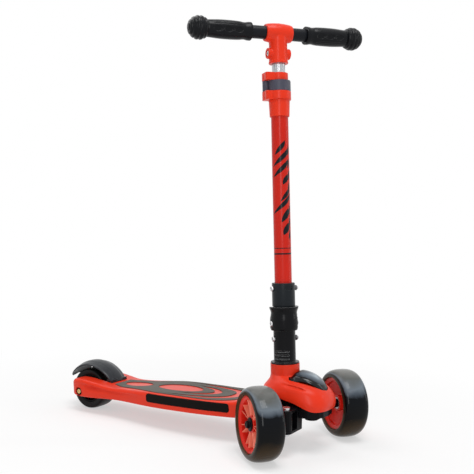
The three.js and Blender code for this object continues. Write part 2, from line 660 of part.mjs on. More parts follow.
function chassisBody() {
  const tub = cut(
    oval(coreY, coreHalf, core.halfWidth, [floorZ, floorZ + core.depth]),
    oval(coreY, coreHalf - core.wall, core.halfWidth - core.wall, [floorZ + core.floor, topZ]),
  );
  const tube = leanAlongAxis(disc(head.radius, [alongAxis(floorZ) + core.floor / 2, -head.drop]));
  const tubeBore = leanAlongAxis(disc(head.bore, [alongAxis(floorZ) - overrun, overrun]));
  const { halfWidth, postIn, postOut, plate } = fork;
  const beam = block([-postIn, postIn], [-halfWidth, halfWidth], [beamLow, forkHigh]);
  const arms = [-1, 1].flatMap((side) => {
    const post = [side * (postIn - core.wall), side * postOut].sort((a, b) => a - b);
    const plates = [[forkLow, forkLow + plate], [forkHigh - plate, forkHigh]].map((range) => prism(
      stadium([side * postIn, 0], [side * kingpin.reach, 0], halfWidth), range,
    ));
    return [block(post, [-halfWidth, halfWidth], [forkLow, forkHigh]), ...plates];
  });
  const holes = [-1, 1].map((side) => disc(
    kingpin.radius + gap, [0, topZ], sides.round, 'z', [side * kingpin.reach, 0, 0],
  ));
  const ahead = block([-overrun, overrun], [-overrun, skirt.rear], [0, topZ]);
  const underCowl = (inset, range) => prism(
    cowlRing(cowlRows.at(-1), -cowl.wall - inset).map(({ x, y }) => new THREE.Vector2(x, y)), range,
  );
  const skirting = cut(
    underCowl(skirt.inset, [skirtLow, floorZ + core.floor]).intersect(ahead),
    underCowl(skirt.inset + skirt.wall, [0, floorZ + gap]),
  );
  const acrossTongue = [-tongue.halfWidth, tongue.halfWidth];
  const tongueRear = core.rear + tongue.length;
  const tongueBody = join(
    block(acrossTongue, [core.rear - core.wall * 3, tongueRear], [floorZ, floorZ + core.depth]),
    block(acrossTongue, [core.rear + tongue.step, tongueRear], [floorZ - tongue.drop, floorZ + gap]),
  ).intersect(deckForm(deck.wall + gap, gap, [deckFront - overrun, ...deckRows]));
  return cut(join(tub, tube, beam, ...arms, skirting, tongueBody), tubeBore, ...holes);
}

function headBush(range, flangeRange) {
  const inner = head.bore - gap - head.bushWall;
  return join(ring(inner, head.bore - gap, range), ring(inner, head.flange, flangeRange));
}

// Steering linkage, drawn straight ahead
const crossHole = (height) => disc(bolt.radius + gap, [-overrun, overrun], sides.small, 'x', [0, 0, height]);

function steeringArm(top) {
  const at = [0, steering.armLength, 0];
  const plate = prism(stadium([0, 0], at, arm.halfWidth), [top - arm.thickness, top]);
  return join(plate, disc(arm.pinRadius, [top - arm.thickness - arm.pinLength, top], sides.small, 'z', at));
}

function steeringShaft() {
  const armHigh = alongAxis(armTop) - play;
  const tube = disc(steering.tubeRadius, [armHigh - arm.thickness, base.well - gap]);
  const bore = disc(steering.tubeRadius - steering.wall, [armHigh, base.well]);
  return cut(join(cut(tube, bore), steeringArm(armHigh)), crossHole(baseBoltHeight));
}

function knuckleBody(side) {
  const half = knuckle.height / 2;
  const post = disc(knuckle.radius, [-half, half]);
  const bossEnd = kingpin.offset - rim.hubHalf - gap;
  const boss = disc(knuckle.bossRadius, side > 0 ? [0, bossEnd] : [-bossEnd, 0], sides.round, 'x');
  const hole = disc(kingpin.radius + gap, [-knuckle.height, knuckle.height]);
  const range = side > 0 ? [knuckle.radius, kingpin.offset] : [-kingpin.offset, -knuckle.radius];
  const axleHole = disc(axle.radius + gap, range, sides.small, 'x');
  return cut(join(post, boss, steeringArm(steering.armRise)), hole, axleHole);
}

function tieRod() {
  const range = [rodTop - rod.thickness, rodTop];
  const y = steering.armLength;
  const tabY = axisYAt(rodTop) + y;
  const plate = prism(stadium([-kingpin.reach, y], [kingpin.reach, y], rod.halfWidth), range);
  const tab = prism(stadium([0, y], [0, tabY], rod.eye), range);
  const eyes = [[-kingpin.reach, y, 0], [kingpin.reach, y, 0], [0, tabY, 0]];
  const ends = eyes.map((at) => disc(rod.eye, range, sides.round, 'z', at));
  const through = [range[0] - overrun, range[1] + overrun];
  const holes = eyes.map((at) => disc(arm.pinRadius + play, through, sides.small, 'z', at));
  return cut(join(plate, tab, ...ends), ...holes);
}

// The side of a tyre from one face round to the other: the powers square off its shoulders.
const roundedSide = (steps, half, from, radius, facePower, treadPower) =>
  Array.from({ length: steps + 1 }, (_, i) => {
    const turn = (i / steps - 1 / 2) * Math.PI;
    const out = i === 0 || i === steps ? 0 : Math.cos(turn) ** treadPower;
    const height = Math.sign(Math.sin(turn)) * Math.abs(Math.sin(turn)) ** facePower;
    return [from + (radius - from) * out, half * height];
  });

// Front wheel, drawn along +Z with its outer face at +Z
function frontTyre() {
  const { radius, width, seatRadius, lipRadius, lipInset, seatInset } = wheel;
  const half = width / 2;
  const points = [
    [seatRadius, seatInset - half],
    [lipRadius + gap, lipInset - half],
    ...roundedSide(6, half, lipRadius + gap * 3, radius, 0.8, 0.7),
    [lipRadius + gap, half - lipInset],
    [seatRadius, half - seatInset],
  ];
  return turned([...points, points[0]], sides.tyre);
}

function frontRim() {
  const { wall, bore, hubRadius, hubHalf, dish, ribs, ribWidth, ribSlant } = rim;
  const lip = wheel.lipRadius;
  const lipOut = wheel.width / 2 - wheel.lipInset + gap;
  const lipIn = wheel.width / 2 - wheel.seatInset + gap;
  const seat = wheel.seatRadius - gap * 2;
  const inner = seat - wall;
  const hubTop = hubHalf + dish;
  const outline = [
    [bore, -hubHalf], [hubRadius, -hubHalf], [hubRadius, -dish / 2], [inner, -hubHalf], [inner, -lipIn],
    [lip - wall, -lipOut], [lip, -lipOut], [seat, -lipIn], [seat, lipIn], [lip, lipOut],
    [lip - wall, lipOut], [inner, lipIn], [inner, dish - hubHalf], [hubRadius, dish / 2],
    [hubRadius, hubTop], [bore, hubTop], [bore, -hubHalf],
  ];
  const stopHalf = hubHalf - bearing.width - gap;
  const stop = ring(axle.radius + play * 3, (bore + hubRadius) / 2, [-stopHalf, stopHalf]);
  const spokes = [];
  for (let i = 0; i < ribs; i += 1) {
    for (const slant of [-ribSlant, ribSlant]) {
      const turn = ((i / ribs) * 360 + slant) * degree;
      const startTurn = turn - (slant / 2) * degree;
      const at = (angle, reach) => new THREE.Vector2(reach * Math.cos(angle), reach * Math.sin(angle));
      const start = at(startTurn, hubRadius - ribWidth / 2);
      const end = at(turn, inner + wall / 2);
      const across = new THREE.Vector2(start.y - end.y, end.x - start.x).setLength(ribWidth / 2);
      const points = [[start, 1], [start, -1], [end, -1], [end, 1]]
        .map(([point, way]) => point.clone().addScaledVector(across, way));
      spokes.push(prism(points, [-hubHalf, hubHalf]));
    }
  }
  const below = -hubHalf - overrun;
  const under = turned([
    [0, below], [0, 0], [hubRadius, 0], [inner + wall, dish / 2 - hubHalf], [inner + wall, below], [0, below],
  ], sides.tyre);
  return join(turned(outline, sides.tyre), stop, cut(join(...spokes), under));
}

const ballBearing = (low) => ring(bearing.inner, bearing.outer, [low, low + bearing.width], sides.small * 2);

function hubCap() {
  const foot = rim.hubHalf + gap;
  const seat = foot + rim.dish;
  const top = seat + cap.height;
  const plug = rim.bore - gap;
  const inside = plug - cap.wall;
  const shoulderShare = 0.62;
  const shoulder = THREE.MathUtils.lerp(seat, top, shoulderShare);
  return turned([
    [0, top - cap.wall], [cap.radius / 2 - cap.wall, top - cap.wall], [inside, shoulder - cap.wall],
    [inside, foot], [plug, foot], [plug, seat], [cap.radius, seat], [cap.radius, shoulder],
    [cap.radius / 2, top], [0, top],
  ], sides.round);
}

function frontAxle() {
  const foot = kingpin.offset - knuckle.radius - gap * 2;
  const seat = rim.hubHalf + gap;
  return turned([
    [0, -foot], [axle.radius, -foot], [axle.radius, seat], [axle.headRadius, seat],
    [axle.headRadius, seat + axle.head], [0, seat + axle.head],
  ], sides.small);
}

function kingpinBody() {
  const { radius, headRadius } = kingpin;
  const [low, high] = [forkLow - gap, forkHigh + gap];
  return turned([
    [0, low - kingpin.head], [headRadius, low - kingpin.head], [headRadius, low], [radius, low],
    [radius, high], [headRadius, high], [headRadius, high + kingpin.head], [0, high + kingpin.head],
  ], sides.round);
}

// Rear wheel, drawn along +Z, and its brake
function rearTyre() {
  const { radius, width, bore, inset } = rearWheel;
  const half = width / 2;
  const faceShare = 0.55;
  const face = THREE.MathUtils.lerp(bore, radius, faceShare);
  const side = roundedSide(6, half, face, radius, 0.6, 0.6);
  const points = [[bore, inset - half], ...side, [bore, half - inset]];
  return turned([...points, points[0]], sides.tyre);
}

function rearHubBody() {
  const { wall, radius, web } = rearHub;
  const outer = rearWheel.bore - gap * 2;
  const inner = outer - wall;
  const half = rearWheel.width / 2 - rearWheel.inset;
  const stopHalf = rearBearingOut - bearing.width - gap;
  const shell = turned([
    [rim.bore, -half], [radius, -half], [radius, -web], [inner, -web], [inner, -half], [outer, -half],
    [outer, half], [inner, half], [inner, web], [radius, web], [radius, half], [rim.bore, half],
    [rim.bore, -half],
  ], sides.round);
  return join(shell, ring(rearBolt.radius + play * 3, (rim.bore + radius) / 2, [-stopHalf, stopHalf]));
}

function rearAxle() {
  const { radius, halfLength, headRadius, head: depth, tail } = rearBolt;
  return turned([
    [0, -halfLength], [headRadius, -halfLength], [headRadius, depth - halfLength],
    [radius, depth - halfLength], [radius, halfLength - tail], [0, halfLength - tail],
  ], sides.small, 'x');
}

// The fender's arch from its rear tip over the top to its foot: degrees about the axle, the share of its
// radius there, and how far its width has narrowed to the foot's.
const archShares = [
  [27, 0.985, 0], [40, 0.985, 0], [54, 0.985, 0], [68, 0.985, 0], [82, 0.99, 0], [98, 1.005, 0],
  [112, 1.025, 0], [126, 1.065, 0.29], [138, 1.115, 0.53], [148, 1.165, 0.73], [156, 1.195, 0.9],
  [161, 1.19, 1],
];
function fenderBody() {
  const { radius, halfWidth, footHalfWidth, crown, wall, barrel, shoeHalfWidth, shoeLength } = fender;
  const acrossSteps = 6;
  const loops = archShares.map(([turn, share, narrow]) => {
    const angle = turn * degree;
    const width = THREE.MathUtils.lerp(halfWidth, footHalfWidth, narrow);
    const line = (depth) => Array.from({ length: acrossSteps + 1 }, (_, i) => {
      const across = (2 * i) / acrossSteps - 1;
      const reach = share * radius - crown * across * across - depth;
      return new THREE.Vector3(
        across * width, rearWheel.y + reach * Math.cos(angle), rearAxleZ + reach * Math.sin(angle),
      );
    });
    return [...line(0), ...line(wall).reverse()];
  });
  const pivot = [0, pivotY, pivotZ];
  const across = [-footHalfWidth, footHalfWidth];
  const web = block(across, [slotFront + play, pivotY], [pivotZ, rearAxleZ + fender.webRise]);
  const shoe = block(
    [-shoeHalfWidth, shoeHalfWidth], [rearWheel.y - shoeLength / 2, rearWheel.y + shoeLength / 2],
    [rearAxleZ + rearWheel.radius + fender.shoeGap, rearAxleZ + radius - wall],
  );
  const pinHole = disc(fender.pin + gap, [-deck.halfWidth, deck.halfWidth], sides.small, 'x', pivot);
  const coilHalf = (brakeSpring.coils * brakeSpring.pitch + brakeSpring.wire) / 2 + play;
  const roomHalf = barrel + gap;
  const coilRoom = block(
    [-coilHalf, coilHalf], [pivotY - roomHalf, pivotY + overrun], [pivotZ - roomHalf, pivotZ + roomHalf],
  );
  const foot = cut(join(disc(barrel, across, sides.small, 'x', pivot), web), coilRoom);
  return cut(join(sheet(loops), foot, shoe), pinHole);
}

// Folding joint
const hingeAt = [0, 0, hingeHeight];

// The housing's outline: shares of its height, with its radius there.
const housingShares = [
  [0, base.waist], [0.1, base.housing], [0.43, base.housing], [0.59, (base.housing * 2 + base.waist) / 3],
  [0.71, base.waist], [0.81, base.waist + gap], [0.91, base.mouth - gap], [1, base.mouth],
];
function foldBase() {
  const foot = head.flangeDepth + gap * 2 - head.drop;
  const body = turned([
    [0, foot], [base.spigot, foot], [base.spigot, gap], [base.flange, gap], [base.flange, base.flangeDepth],
    [base.sleeve, base.flangeDepth], [base.sleeve, housingLow],
    ...housingShares.map(([up, radius]) => [radius, THREE.MathUtils.lerp(housingLow, baseTop, up)]),
    [0, baseTop],
  ], sides.round);
  const well = disc(steering.tubeRadius + gap, [-overrun, base.well]);
  const room = hinge.halfWidth + play;
  const eye = hinge.eye + play;
  const rooms = [
    disc(eye, [-room, room], sides.round, 'x', hingeAt),
    block([-room, room], [-eye, overrun], [hingeHeight, baseTop + overrun]),
    block([-room, room], [0, overrun], [hingeHeight - eye, hingeHeight + gap]),
  ];
  // The socket's foot swings over the rear, so the housing stays inside the circle that it leaves free.
  const behind = block([-overrun, overrun], [0, overrun], [hingeHeight, baseTop + overrun]);
  const swing = disc(baseTop - hingeHeight, [-overrun, overrun], sides.tyre, 'x', hingeAt);
  const cheekTop = hingeHeight + lever.halfLength + lever.lip;
  const cheek = block([lever.seat, overrun], [-overrun, overrun], [housingLow, cheekTop]);
  const springRoom = disc(
    leverSpring.radius + leverSpring.wire, [lever.seat - leverSpring.room, overrun], sides.round,
    'x', hingeAt,
  );
  const headFlat = disc(bolt.headRadius + gap, [-overrun, -hinge.headSeat], sides.round, 'x', hingeAt);
  const quadrant = block([-overrun, 0], [-overrun, 0], [0, housingLow]);
  const grooves = Array.from({ length: base.slots }, (_, i) => {
    const low = base.flangeDepth + base.slotRise + i * base.slotPitch;
    const range = [low, low + base.slotHeight];
    return ring(base.sleeve - base.slotDepth, base.flange, range).intersect(quadrant);
  });
  return cut(
    body, well, ...rooms, cut(behind, swing), crossHole(hingeHeight), crossHole(baseBoltHeight), cheek,
    springRoom, headFlat, ...grooves,
  );
}

function foldSocket() {
  const floorTop = socketLow + socket.floor;
  const body = disc(socket.radius, [socketLow, socketTop]);
  const bore = disc(outerTube.radius + gap, [floorTop, socketTop + overrun]);
  const across = [-hinge.halfWidth, hinge.halfWidth];
  const neck = join(
    disc(hinge.eye, across, sides.round, 'x', hingeAt),
    block(across, [-hinge.eye, hinge.eye], [hingeHeight, floorTop]),
  );
  return cut(join(cut(body, bore), neck), crossHole(hingeHeight), crossHole(socketBoltHeight));
}

// A cross bolt along x, with its head on the rider's right, and the nut on its other end
function crossBolt(headSeat, tail, height) {
  return turned([
    [0, -headSeat - bolt.head], [bolt.headRadius, -headSeat - bolt.head], [bolt.headRadius, -headSeat],
    [bolt.radius, -headSeat], [bolt.radius, tail], [0, tail],
  ], sides.small, 'x', [0, 0, height]);
}

function hexNut(bore, radius, low, thickness, height = 0) {
  const at = [0, 0, height];
  const hole = disc(bore, [low - overrun, low + overrun], sides.small, 'x', at);
  return cut(disc(radius, [low, low + thickness], 6, 'x', at), hole);
}
const crossNut = (low, height, thickness = bolt.nut) =>
  hexNut(bolt.radius + gap, bolt.nutRadius, low, thickness, height);

const leverIn = lever.seat + gap;
const leverOut = leverIn + lever.thickness;
function releaseLever() {
  const { halfWidth, halfLength, lip } = lever;
  const reach = halfLength - halfWidth;
  const plate = layAlongX(prism(stadium([-reach, 0], [reach, 0], halfWidth), [leverIn, leverOut]), hingeAt);
  const lipTop = hingeHeight + halfLength - lip;
  const tab = block([leverIn, leverOut + lip], [-halfWidth / 2, halfWidth / 2], [lipTop - lip, lipTop]);
  return cut(join(plate, tab), crossHole(hingeHeight));
}

// Stem tubes and height clamp
const drilledTube = (radius, bore, range, height) => cut(ring(bore, radius, range), crossHole(height));

function innerTubeBody() {
  const { radius, bore, length, flutes, fluteDepth, fluteWidth } = innerTube;
  const grooves = Array.from({ length: flutes }, (_, i) => {
    const groove = new THREE.BoxGeometry(fluteWidth, fluteDepth * 2, length);
    groove.translate(0, radius, innerLow + guide.length + length / 2);
    return solidOf(groove.rotateZ(((i + 1 / 2) / flutes) * 2 * Math.PI));
  });
  return cut(drilledTube(radius, bore, [innerLow, innerTop], teeBoltHeight), ...grooves);
}

const bandPinAt = [-band.pinX, band.pinY, 0];
function clampCollar() {
  const c = collar;
  const flange = (radius, range) => join(
    disc(radius, range),
    block([-c.blockReach, 0], [-c.blockHalfWidth, c.blockHalfWidth], range),
  );
  const neck = turned([
    [0, collarStart], [c.neckBottom, collarStart], [c.neckTop, flangeLow], [c.coreRadius, flangeLow + gap],
    [c.coreRadius, collarTop], [0, collarTop],
  ], sides.round);
  const lowerFlange = flange(c.lowerRadius, [flangeLow, bandLow]);
  const body = join(neck, lowerFlange, flange(c.upperRadius, [bandTop, collarTop]));
  const wideBore = disc(outerTube.radius + gap, [collarStart - overrun, outerTop + gap]);
  const bore = disc(innerTube.radius + gap, [collarStart, collarTop + overrun]);
  const above = [flangeLow + play, collarTop + overrun];
  const split = block([-overrun, 0], [-c.slot / 2, c.slot / 2], above);
  const pinHole = disc(band.pin + gap, above, sides.small, 'z', bandPinAt);
  return cut(body, wideBore, bore, split, pinHole);
}

function clampBand() {
  const { inner, wall, endRadius, eye } = band;
  const range = [bandLow + gap, bandTop - gap];
  const start = Math.atan2(band.pinY, -band.pinX) - 2 * Math.PI;
  const end = band.end * degree;
  const steps = 12;
  const turns = Array.from({ length: steps + 1 }, (_, i) => THREE.MathUtils.lerp(start, end, i / steps));
  const arc = (radius) => turns.map((a) => new THREE.Vector2(radius * Math.cos(a), radius * Math.sin(a)));
  const endAt = inner + endRadius;
  const body = join(
    prism([...arc(inner + wall), ...arc(inner).reverse()], range),
    disc(eye, range, sides.round, 'z', bandPinAt),
    disc(endRadius, range, sides.small, 'z', [endAt * Math.cos(end), endAt * Math.sin(end), 0]),
  );
  const through = [bandLow, bandTop];
  return cut(body, disc(band.pin + gap, through, sides.small, 'z', bandPinAt), disc(inner, through));
}

// Handlebar
const barAt = [0, 0, barHeight];
function teePiece() {
  const t = tee;
  const fullShare = 0.72;
  const mid = THREE.MathUtils.lerp(t.barrelEnd, t.barrel, fullShare);
  const barrel = turned([
    [0, -t.barrelHalf], [t.barrelEnd, -t.barrelHalf], [mid, -t.barrelHalf / 2], [t.barrel, 0],
    [mid, t.barrelHalf / 2], [t.barrelEnd, t.barrelHalf], [0, t.barrelHalf],
  ], sides.round, 'x', barAt);
  const lipTop = teeLow + t.lipHeight;
  const sleeve = turned([
    [0, teeLow], [t.lip, teeLow], [t.lip, lipTop], [t.sleeve, lipTop + t.lip - t.sleeve],
    [t.sleeve, barHeight], [0, barHeight],
  ], sides.round);
  const boltAt = [0, 0, teeBoltHeight];
  const bosses = disc(t.bossRadius, [-t.bossReach, t.bossReach], sides.round, 'x', boltAt);
  const tubeBore = disc(innerTube.radius + gap, [teeLow - overrun, innerTop + gap]);
  const barBore = disc(bar.radius + gap, [-bar.half, bar.half], sides.round, 'x', barAt);
  const floor = t.bossReach - t.well;
  const wells = [[-overrun, -floor], [floor, overrun]]
    .map((range) => disc(t.wellRadius, range, sides.round, 'x', boltAt));
  return cut(join(barrel, sleeve, bosses), tubeBore, barBore, crossHole(teeBoltHeight), ...wells);
}

// A grip with its bell-shaped flange and its ribbed ball end, drawn along +X. The rows are shares of the
// way along the flange or the handle, and of the rise from the waist to the flange's or swell's radius.
const flangeShares = [[0, 1], [0.4, 0.95], [0.75, 0.4], [1, 0]];
const swellShares = [[0.1, 0.6], [0.3, 0.95], [0.5, 1], [0.7, 0.8], [0.9, 0.25]];
function gripBody() {
  const g = grip;
  const { lerp } = THREE.MathUtils;
  const bore = bar.radius + gap;
  const boreEnd = bar.half + gap;
  const flangeEnd = g.inner + g.flangeLength;
  const neckEnd = flangeEnd + g.neckLength;
  const gripEnd = g.ballCentre - Math.sqrt(g.ballRadius ** 2 - g.waist ** 2);
  const outline = [
    [bore, g.inner],
    ...flangeShares.map(([along, out]) => [
      lerp(g.waist, g.flangeRadius, out), lerp(g.inner, flangeEnd, along),
    ]),
    [g.waist, neckEnd],
    ...swellShares.map(([along, out]) => [lerp(g.waist, g.swell, out), lerp(neckEnd, gripEnd, along)]),
  ];
  const from = Math.atan2(g.waist, gripEnd - g.ballCentre);
  const steps = g.rings * 2;
  for (let i = 0; i < steps; i += 1) {
    const turn = from * (1 - i / steps);
    const radius = g.ballRadius - (i % 2 === 0 ? g.ringDepth : 0);
    outline.push([radius * Math.sin(turn), g.ballCentre + radius * Math.cos(turn)]);
  }
  const ballEnd = g.ballCentre + g.ballRadius - g.ringDepth;
  outline.push([0, ballEnd], [0, boreEnd], [bore, boreEnd], [bore, g.inner]);
  return turned(outline, sides.round, 'x');
}

// Deck, chassis and cowl
add(scooter, 'deck', deckBody(), red);
add(scooter, 'deck_grip_mat', gripMat(), rubber);
add(scooter, 'side_grip_left', sideStrip(1), black);
add(scooter, 'side_grip_right', sideStrip(-1), black);
add(scooter, 'chassis', chassisBody(), black);
add(scooter, 'front_cowl', frontCowl(), red);
add(scooter, 'visor', visorBody(), smoke);

const upperFlange = [gap - head.drop, gap + head.flangeDepth - head.drop];
const lowerSeat = alongAxis(floorZ) - head.flange * Math.tan(rake) - gap;
const lowerFlange = [lowerSeat - head.flangeDepth, lowerSeat];
add(raked, 'head_bush_upper', headBush([-head.drop - head.bushLength, upperFlange[1]], upperFlange), black);
add(raked, 'head_bush_lower', headBush([lowerFlange[0], lowerSeat + head.bushLength], lowerFlange), black);

// Rear wheel and brake
const rear = group(scooter, [0, rearWheel.y, rearAxleZ]);
add(rear, 'rear_axle_bolt', rearAxle(), brass);
const rearNutLow = rearBolt.halfLength - rearBolt.head;
const rearNut = hexNut(rearBolt.radius + gap, rearBolt.headRadius, rearNutLow, rearBolt.head);
add(rear, 'rear_axle_nut', rearNut, steel);
const pinEnd = slotHalf + fender.pinGrip;
const pivotAt = [0, pivotY, pivotZ];
add(scooter, 'brake_pin', disc(fender.pin, [-pinEnd, pinEnd], sides.small, 'x', pivotAt), steel);
add(scooter, 'brake_spring', layAlongX(coilSpring(brakeSpring), pivotAt), steel);
add(scooter, 'rear_fender_brake', fenderBody(), darkGrey);

const rearSpin = group(rear);
rearSpin.rotation.y = Math.PI / 2;
add(rearSpin, 'rear_tyre', rearTyre(), black);
add(rearSpin, 'rear_hub', rearHubBody(), black);
add(rearSpin, 'rear_bearing_right', ballBearing(-rearBearingOut), steel);
add(rearSpin, 'rear_bearing_left', ballBearing(rearBearingOut - bearing.width), steel);

// Front corners
for (const [side, word] of [[1, 'left'], [-1, 'right']]) {
  add(group(scooter, [side * kingpin.reach, 0, 0]), `kingpin_${word}`, kingpinBody(), steel);
  const corner = group(scooter, [side * kingpin.reach, 0, axleZ]);
  corner.rotation.z = -lock;
  add(corner, `knuckle_${word}`, knuckleBody(side), black);
  const spin = group(corner, [side * kingpin.offset, 0, 0]);
  spin.rotation.y = (side * Math.PI) / 2;
  add(spin, `axle_bolt_${word}`, frontAxle(), steel);
  add(spin, `tyre_${word}`, frontTyre(), smoke);
  add(spin, `rim_${word}`, frontRim(), red);
  add(spin, `bearing_inner_${word}`, ballBearing(-rim.hubHalf), steel);
  add(spin, `bearing_outer_${word}`, ballBearing(rim.hubHalf - bearing.width), steel);
  add(spin, `hub_cap_${word}`, hubCap(), black);
}

// The tie rod keeps its heading while the steering arm's pin swings round the steering axis.
const steeringAxis = new THREE.Vector3(0, Math.sin(rake), Math.cos(rake));
const armStraight = new THREE.Vector3(0, Math.cos(rake), -Math.sin(rake)).multiplyScalar(steering.armLength);
const rodShift = armStraight.clone().applyAxisAngle(steeringAxis, -lock).sub(armStraight);
add(group(scooter, [rodShift.x, rodShift.y, 0]), 'tie_rod', tieRod(), steel);

// Steering column and its folding joint
add(column, 'steering_shaft', steeringShaft(), steel);
add(column, 'fold_base', foldBase(), black);
const sleeveSeat = base.sleeve + gap;
add(column, 'base_bolt', crossBolt(sleeveSeat, sleeveSeat + bolt.nut + bolt.tail, baseBoltHeight), steel);
add(column, 'base_nut', crossNut(sleeveSeat, baseBoltHeight), steel);
const leverNut = leverOut + gap;
add(column, 'hinge_bolt', crossBolt(hinge.headSeat + gap, leverNut + lever.nut, hingeHeight), steel);
add(column, 'hinge_nut', crossNut(leverNut, hingeHeight, lever.nut), steel);
add(column, 'release_lever', releaseLever(), black);
const coilX = leverIn - leverSpring.room / 2;
add(column, 'release_spring', layAlongX(coilSpring(leverSpring), [coilX, 0, hingeHeight]), steel);

// Stem
add(column, 'fold_socket', foldSocket(), darkGrey);
const socketSeat = socket.radius + gap;
add(column, 'socket_bolt', crossBolt(socketSeat, socketSeat + bolt.nut + bolt.tail, socketBoltHeight), steel);
add(column, 'socket_nut', crossNut(socketSeat, socketBoltHeight), steel);
const outerRange = [outerLow, outerTop];
const tubeOfStem = drilledTube(outerTube.radius, outerTube.bore, outerRange, socketBoltHeight);
add(column, 'outer_tube', tubeOfStem, tubeRed);
add(column, 'clamp_collar', clampCollar(), red);
const clampPinRange = [flangeLow + play + gap, collarTop];
add(column, 'clamp_pin', disc(band.pin, clampPinRange, sides.small, 'z', bandPinAt), steel);
add(column, 'clamp_band', clampBand(), darkGrey);

// Handlebar
add(column, 'inner_tube', innerTubeBody(), aluminium);
const guideInner = innerTube.radius + gap;
const guideRange = [innerLow, innerLow + guide.length];
add(column, 'guide_bush', ring(guideInner, guideInner + guide.wall, guideRange), black);
add(column, 't_piece', teePiece(), red);
const wellSeat = tee.bossReach - tee.well + gap;
add(column, 't_bolt', crossBolt(wellSeat, wellSeat + bolt.nut, teeBoltHeight), steel);
add(column, 't_nut', crossNut(wellSeat, teeBoltHeight), steel);
const barTube = ring(bar.radius - bar.wall, bar.radius, [-bar.half, bar.half], sides.round, 'x', barAt);
add(column, 'handlebar', barTube, black);
for (const [turn, word] of [[0, 'left'], [Math.PI, 'right']]) {
  const holder = group(column, barAt);
  holder.rotation.z = turn;
  add(holder, `grip_${word}`, gripBody(), rubber);
}

// Stand the whole scooter over the origin.
scooter.updateMatrixWorld(true);
const middle = new THREE.Box3().setFromObject(scooter, true).getCenter(new THREE.Vector3());
scooter.position.set(-middle.x, -middle.y, 0);
scooter.updateMatrixWorld(true);

export default scooter;
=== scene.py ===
# %% [markdown]
# # Three wheel kids scooter
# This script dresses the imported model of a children's kick scooter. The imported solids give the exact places
# and the moving bodies; here each one is either given a better finish or is replaced by a rounder, finer
# piece that stands in the same place. Lengths are written in millimetres and turned into metres on the way.

import math
import bpy
from mathutils import Matrix, Vector
from mathutils.bvhtree import BVHTree


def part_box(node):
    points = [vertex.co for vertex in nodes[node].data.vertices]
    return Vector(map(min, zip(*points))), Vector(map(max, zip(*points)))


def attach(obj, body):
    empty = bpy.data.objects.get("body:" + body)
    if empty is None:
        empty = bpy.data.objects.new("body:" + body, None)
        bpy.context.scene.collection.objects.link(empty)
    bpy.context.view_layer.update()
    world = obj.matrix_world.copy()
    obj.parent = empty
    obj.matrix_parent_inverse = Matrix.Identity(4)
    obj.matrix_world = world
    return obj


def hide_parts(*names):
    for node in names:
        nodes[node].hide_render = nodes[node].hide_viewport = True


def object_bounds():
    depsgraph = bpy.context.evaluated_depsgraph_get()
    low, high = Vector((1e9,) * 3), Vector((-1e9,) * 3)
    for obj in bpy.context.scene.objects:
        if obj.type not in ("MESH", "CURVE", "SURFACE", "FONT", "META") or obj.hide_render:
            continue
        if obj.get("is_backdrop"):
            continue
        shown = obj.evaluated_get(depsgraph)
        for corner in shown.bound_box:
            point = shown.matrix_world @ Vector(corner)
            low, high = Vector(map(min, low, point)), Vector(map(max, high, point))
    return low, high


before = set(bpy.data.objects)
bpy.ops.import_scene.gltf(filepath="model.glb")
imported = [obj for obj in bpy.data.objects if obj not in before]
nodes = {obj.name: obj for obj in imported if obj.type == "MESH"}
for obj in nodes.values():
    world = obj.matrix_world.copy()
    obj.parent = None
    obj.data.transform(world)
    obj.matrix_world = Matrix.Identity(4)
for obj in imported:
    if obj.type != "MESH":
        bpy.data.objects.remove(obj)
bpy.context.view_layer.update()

# %% [markdown]
# ## Where things are
# A scooter is easiest to model in the frames of its own parts. The steering column leans back by a few
# degrees and is turned to the right in the photograph, so everything on it is drawn upright about +Z in a
# column frame and then carried to its place by one matrix. The wheels get frames of their own in the same
# way. An alternative is to model in place and rotate objects, but then every object would keep a rotation.

# %% Frames of the moving parts
MM = Matrix.Scale(0.001, 4)
HERE = Matrix.Identity(4)


def shift(x, y, z):
    return Matrix.Translation((x, y, z))


def spin(degrees, axis):
    return Matrix.Rotation(math.radians(degrees), 4, axis)


ALONG_X = spin(90, "Y")  # lays a shape made along +Z on +X
SIDES = {1: "left", -1: "right"}
RAKE = 3.0
LOCK = 39.5
FACETED = math.cos(math.pi / 24)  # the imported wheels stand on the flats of 24 facets
FRONT_AXLE_Z = 60 * FACETED
REAR_AXLE_Z = 40 * FACETED
BACK = -212.3757  # the front axle line's y
COWL_TOP = FRONT_AXLE_Z + 79.9
STEERING_Y = 37.3  # the steering axis behind the front axle, at the top of the cowl
REAR_Y = 460.3
KINGPIN_X, WHEEL_OFFSET = 67.5, 45

ground = MM @ shift(0, BACK, 0)
column = ground @ shift(0, STEERING_Y, COWL_TOP) @ spin(-RAKE, "X") @ spin(-LOCK, "Z")
rear = ground @ shift(0, REAR_Y, REAR_AXLE_Z) @ ALONG_X
wheels = {side: ground @ shift(side * KINGPIN_X, 0, FRONT_AXLE_Z) @ spin(-LOCK, "Z")
          @ shift(side * WHEEL_OFFSET, 0, 0) @ spin(side * 90, "Y") for side in SIDES}


def axis_y(z):
    """The y at which the steering axis passes a height above the ground."""
    return STEERING_Y + (z - COWL_TOP) * math.tan(math.radians(RAKE))


def cross_place(height):
    """A frame whose +Z lies across the column at a height."""
    return column @ shift(0, 0, height) @ ALONG_X


def polar(radius, turn):
    return radius * math.cos(turn), radius * math.sin(turn)


box_low, box_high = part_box("tyre_left")
off = [round(1000 * ((a + b) / 2 - c), 2) for a, b, c in zip(box_low, box_high, wheels[1].translation)]
print("left tyre's middle is off its frame by", off)

# %% [markdown]
# ## The camera
# The view is a product photograph from the scooter's right front, a little above the deck. The place, turn
# and lens below put the wheels, the deck and the bar on the same spots of a square picture.

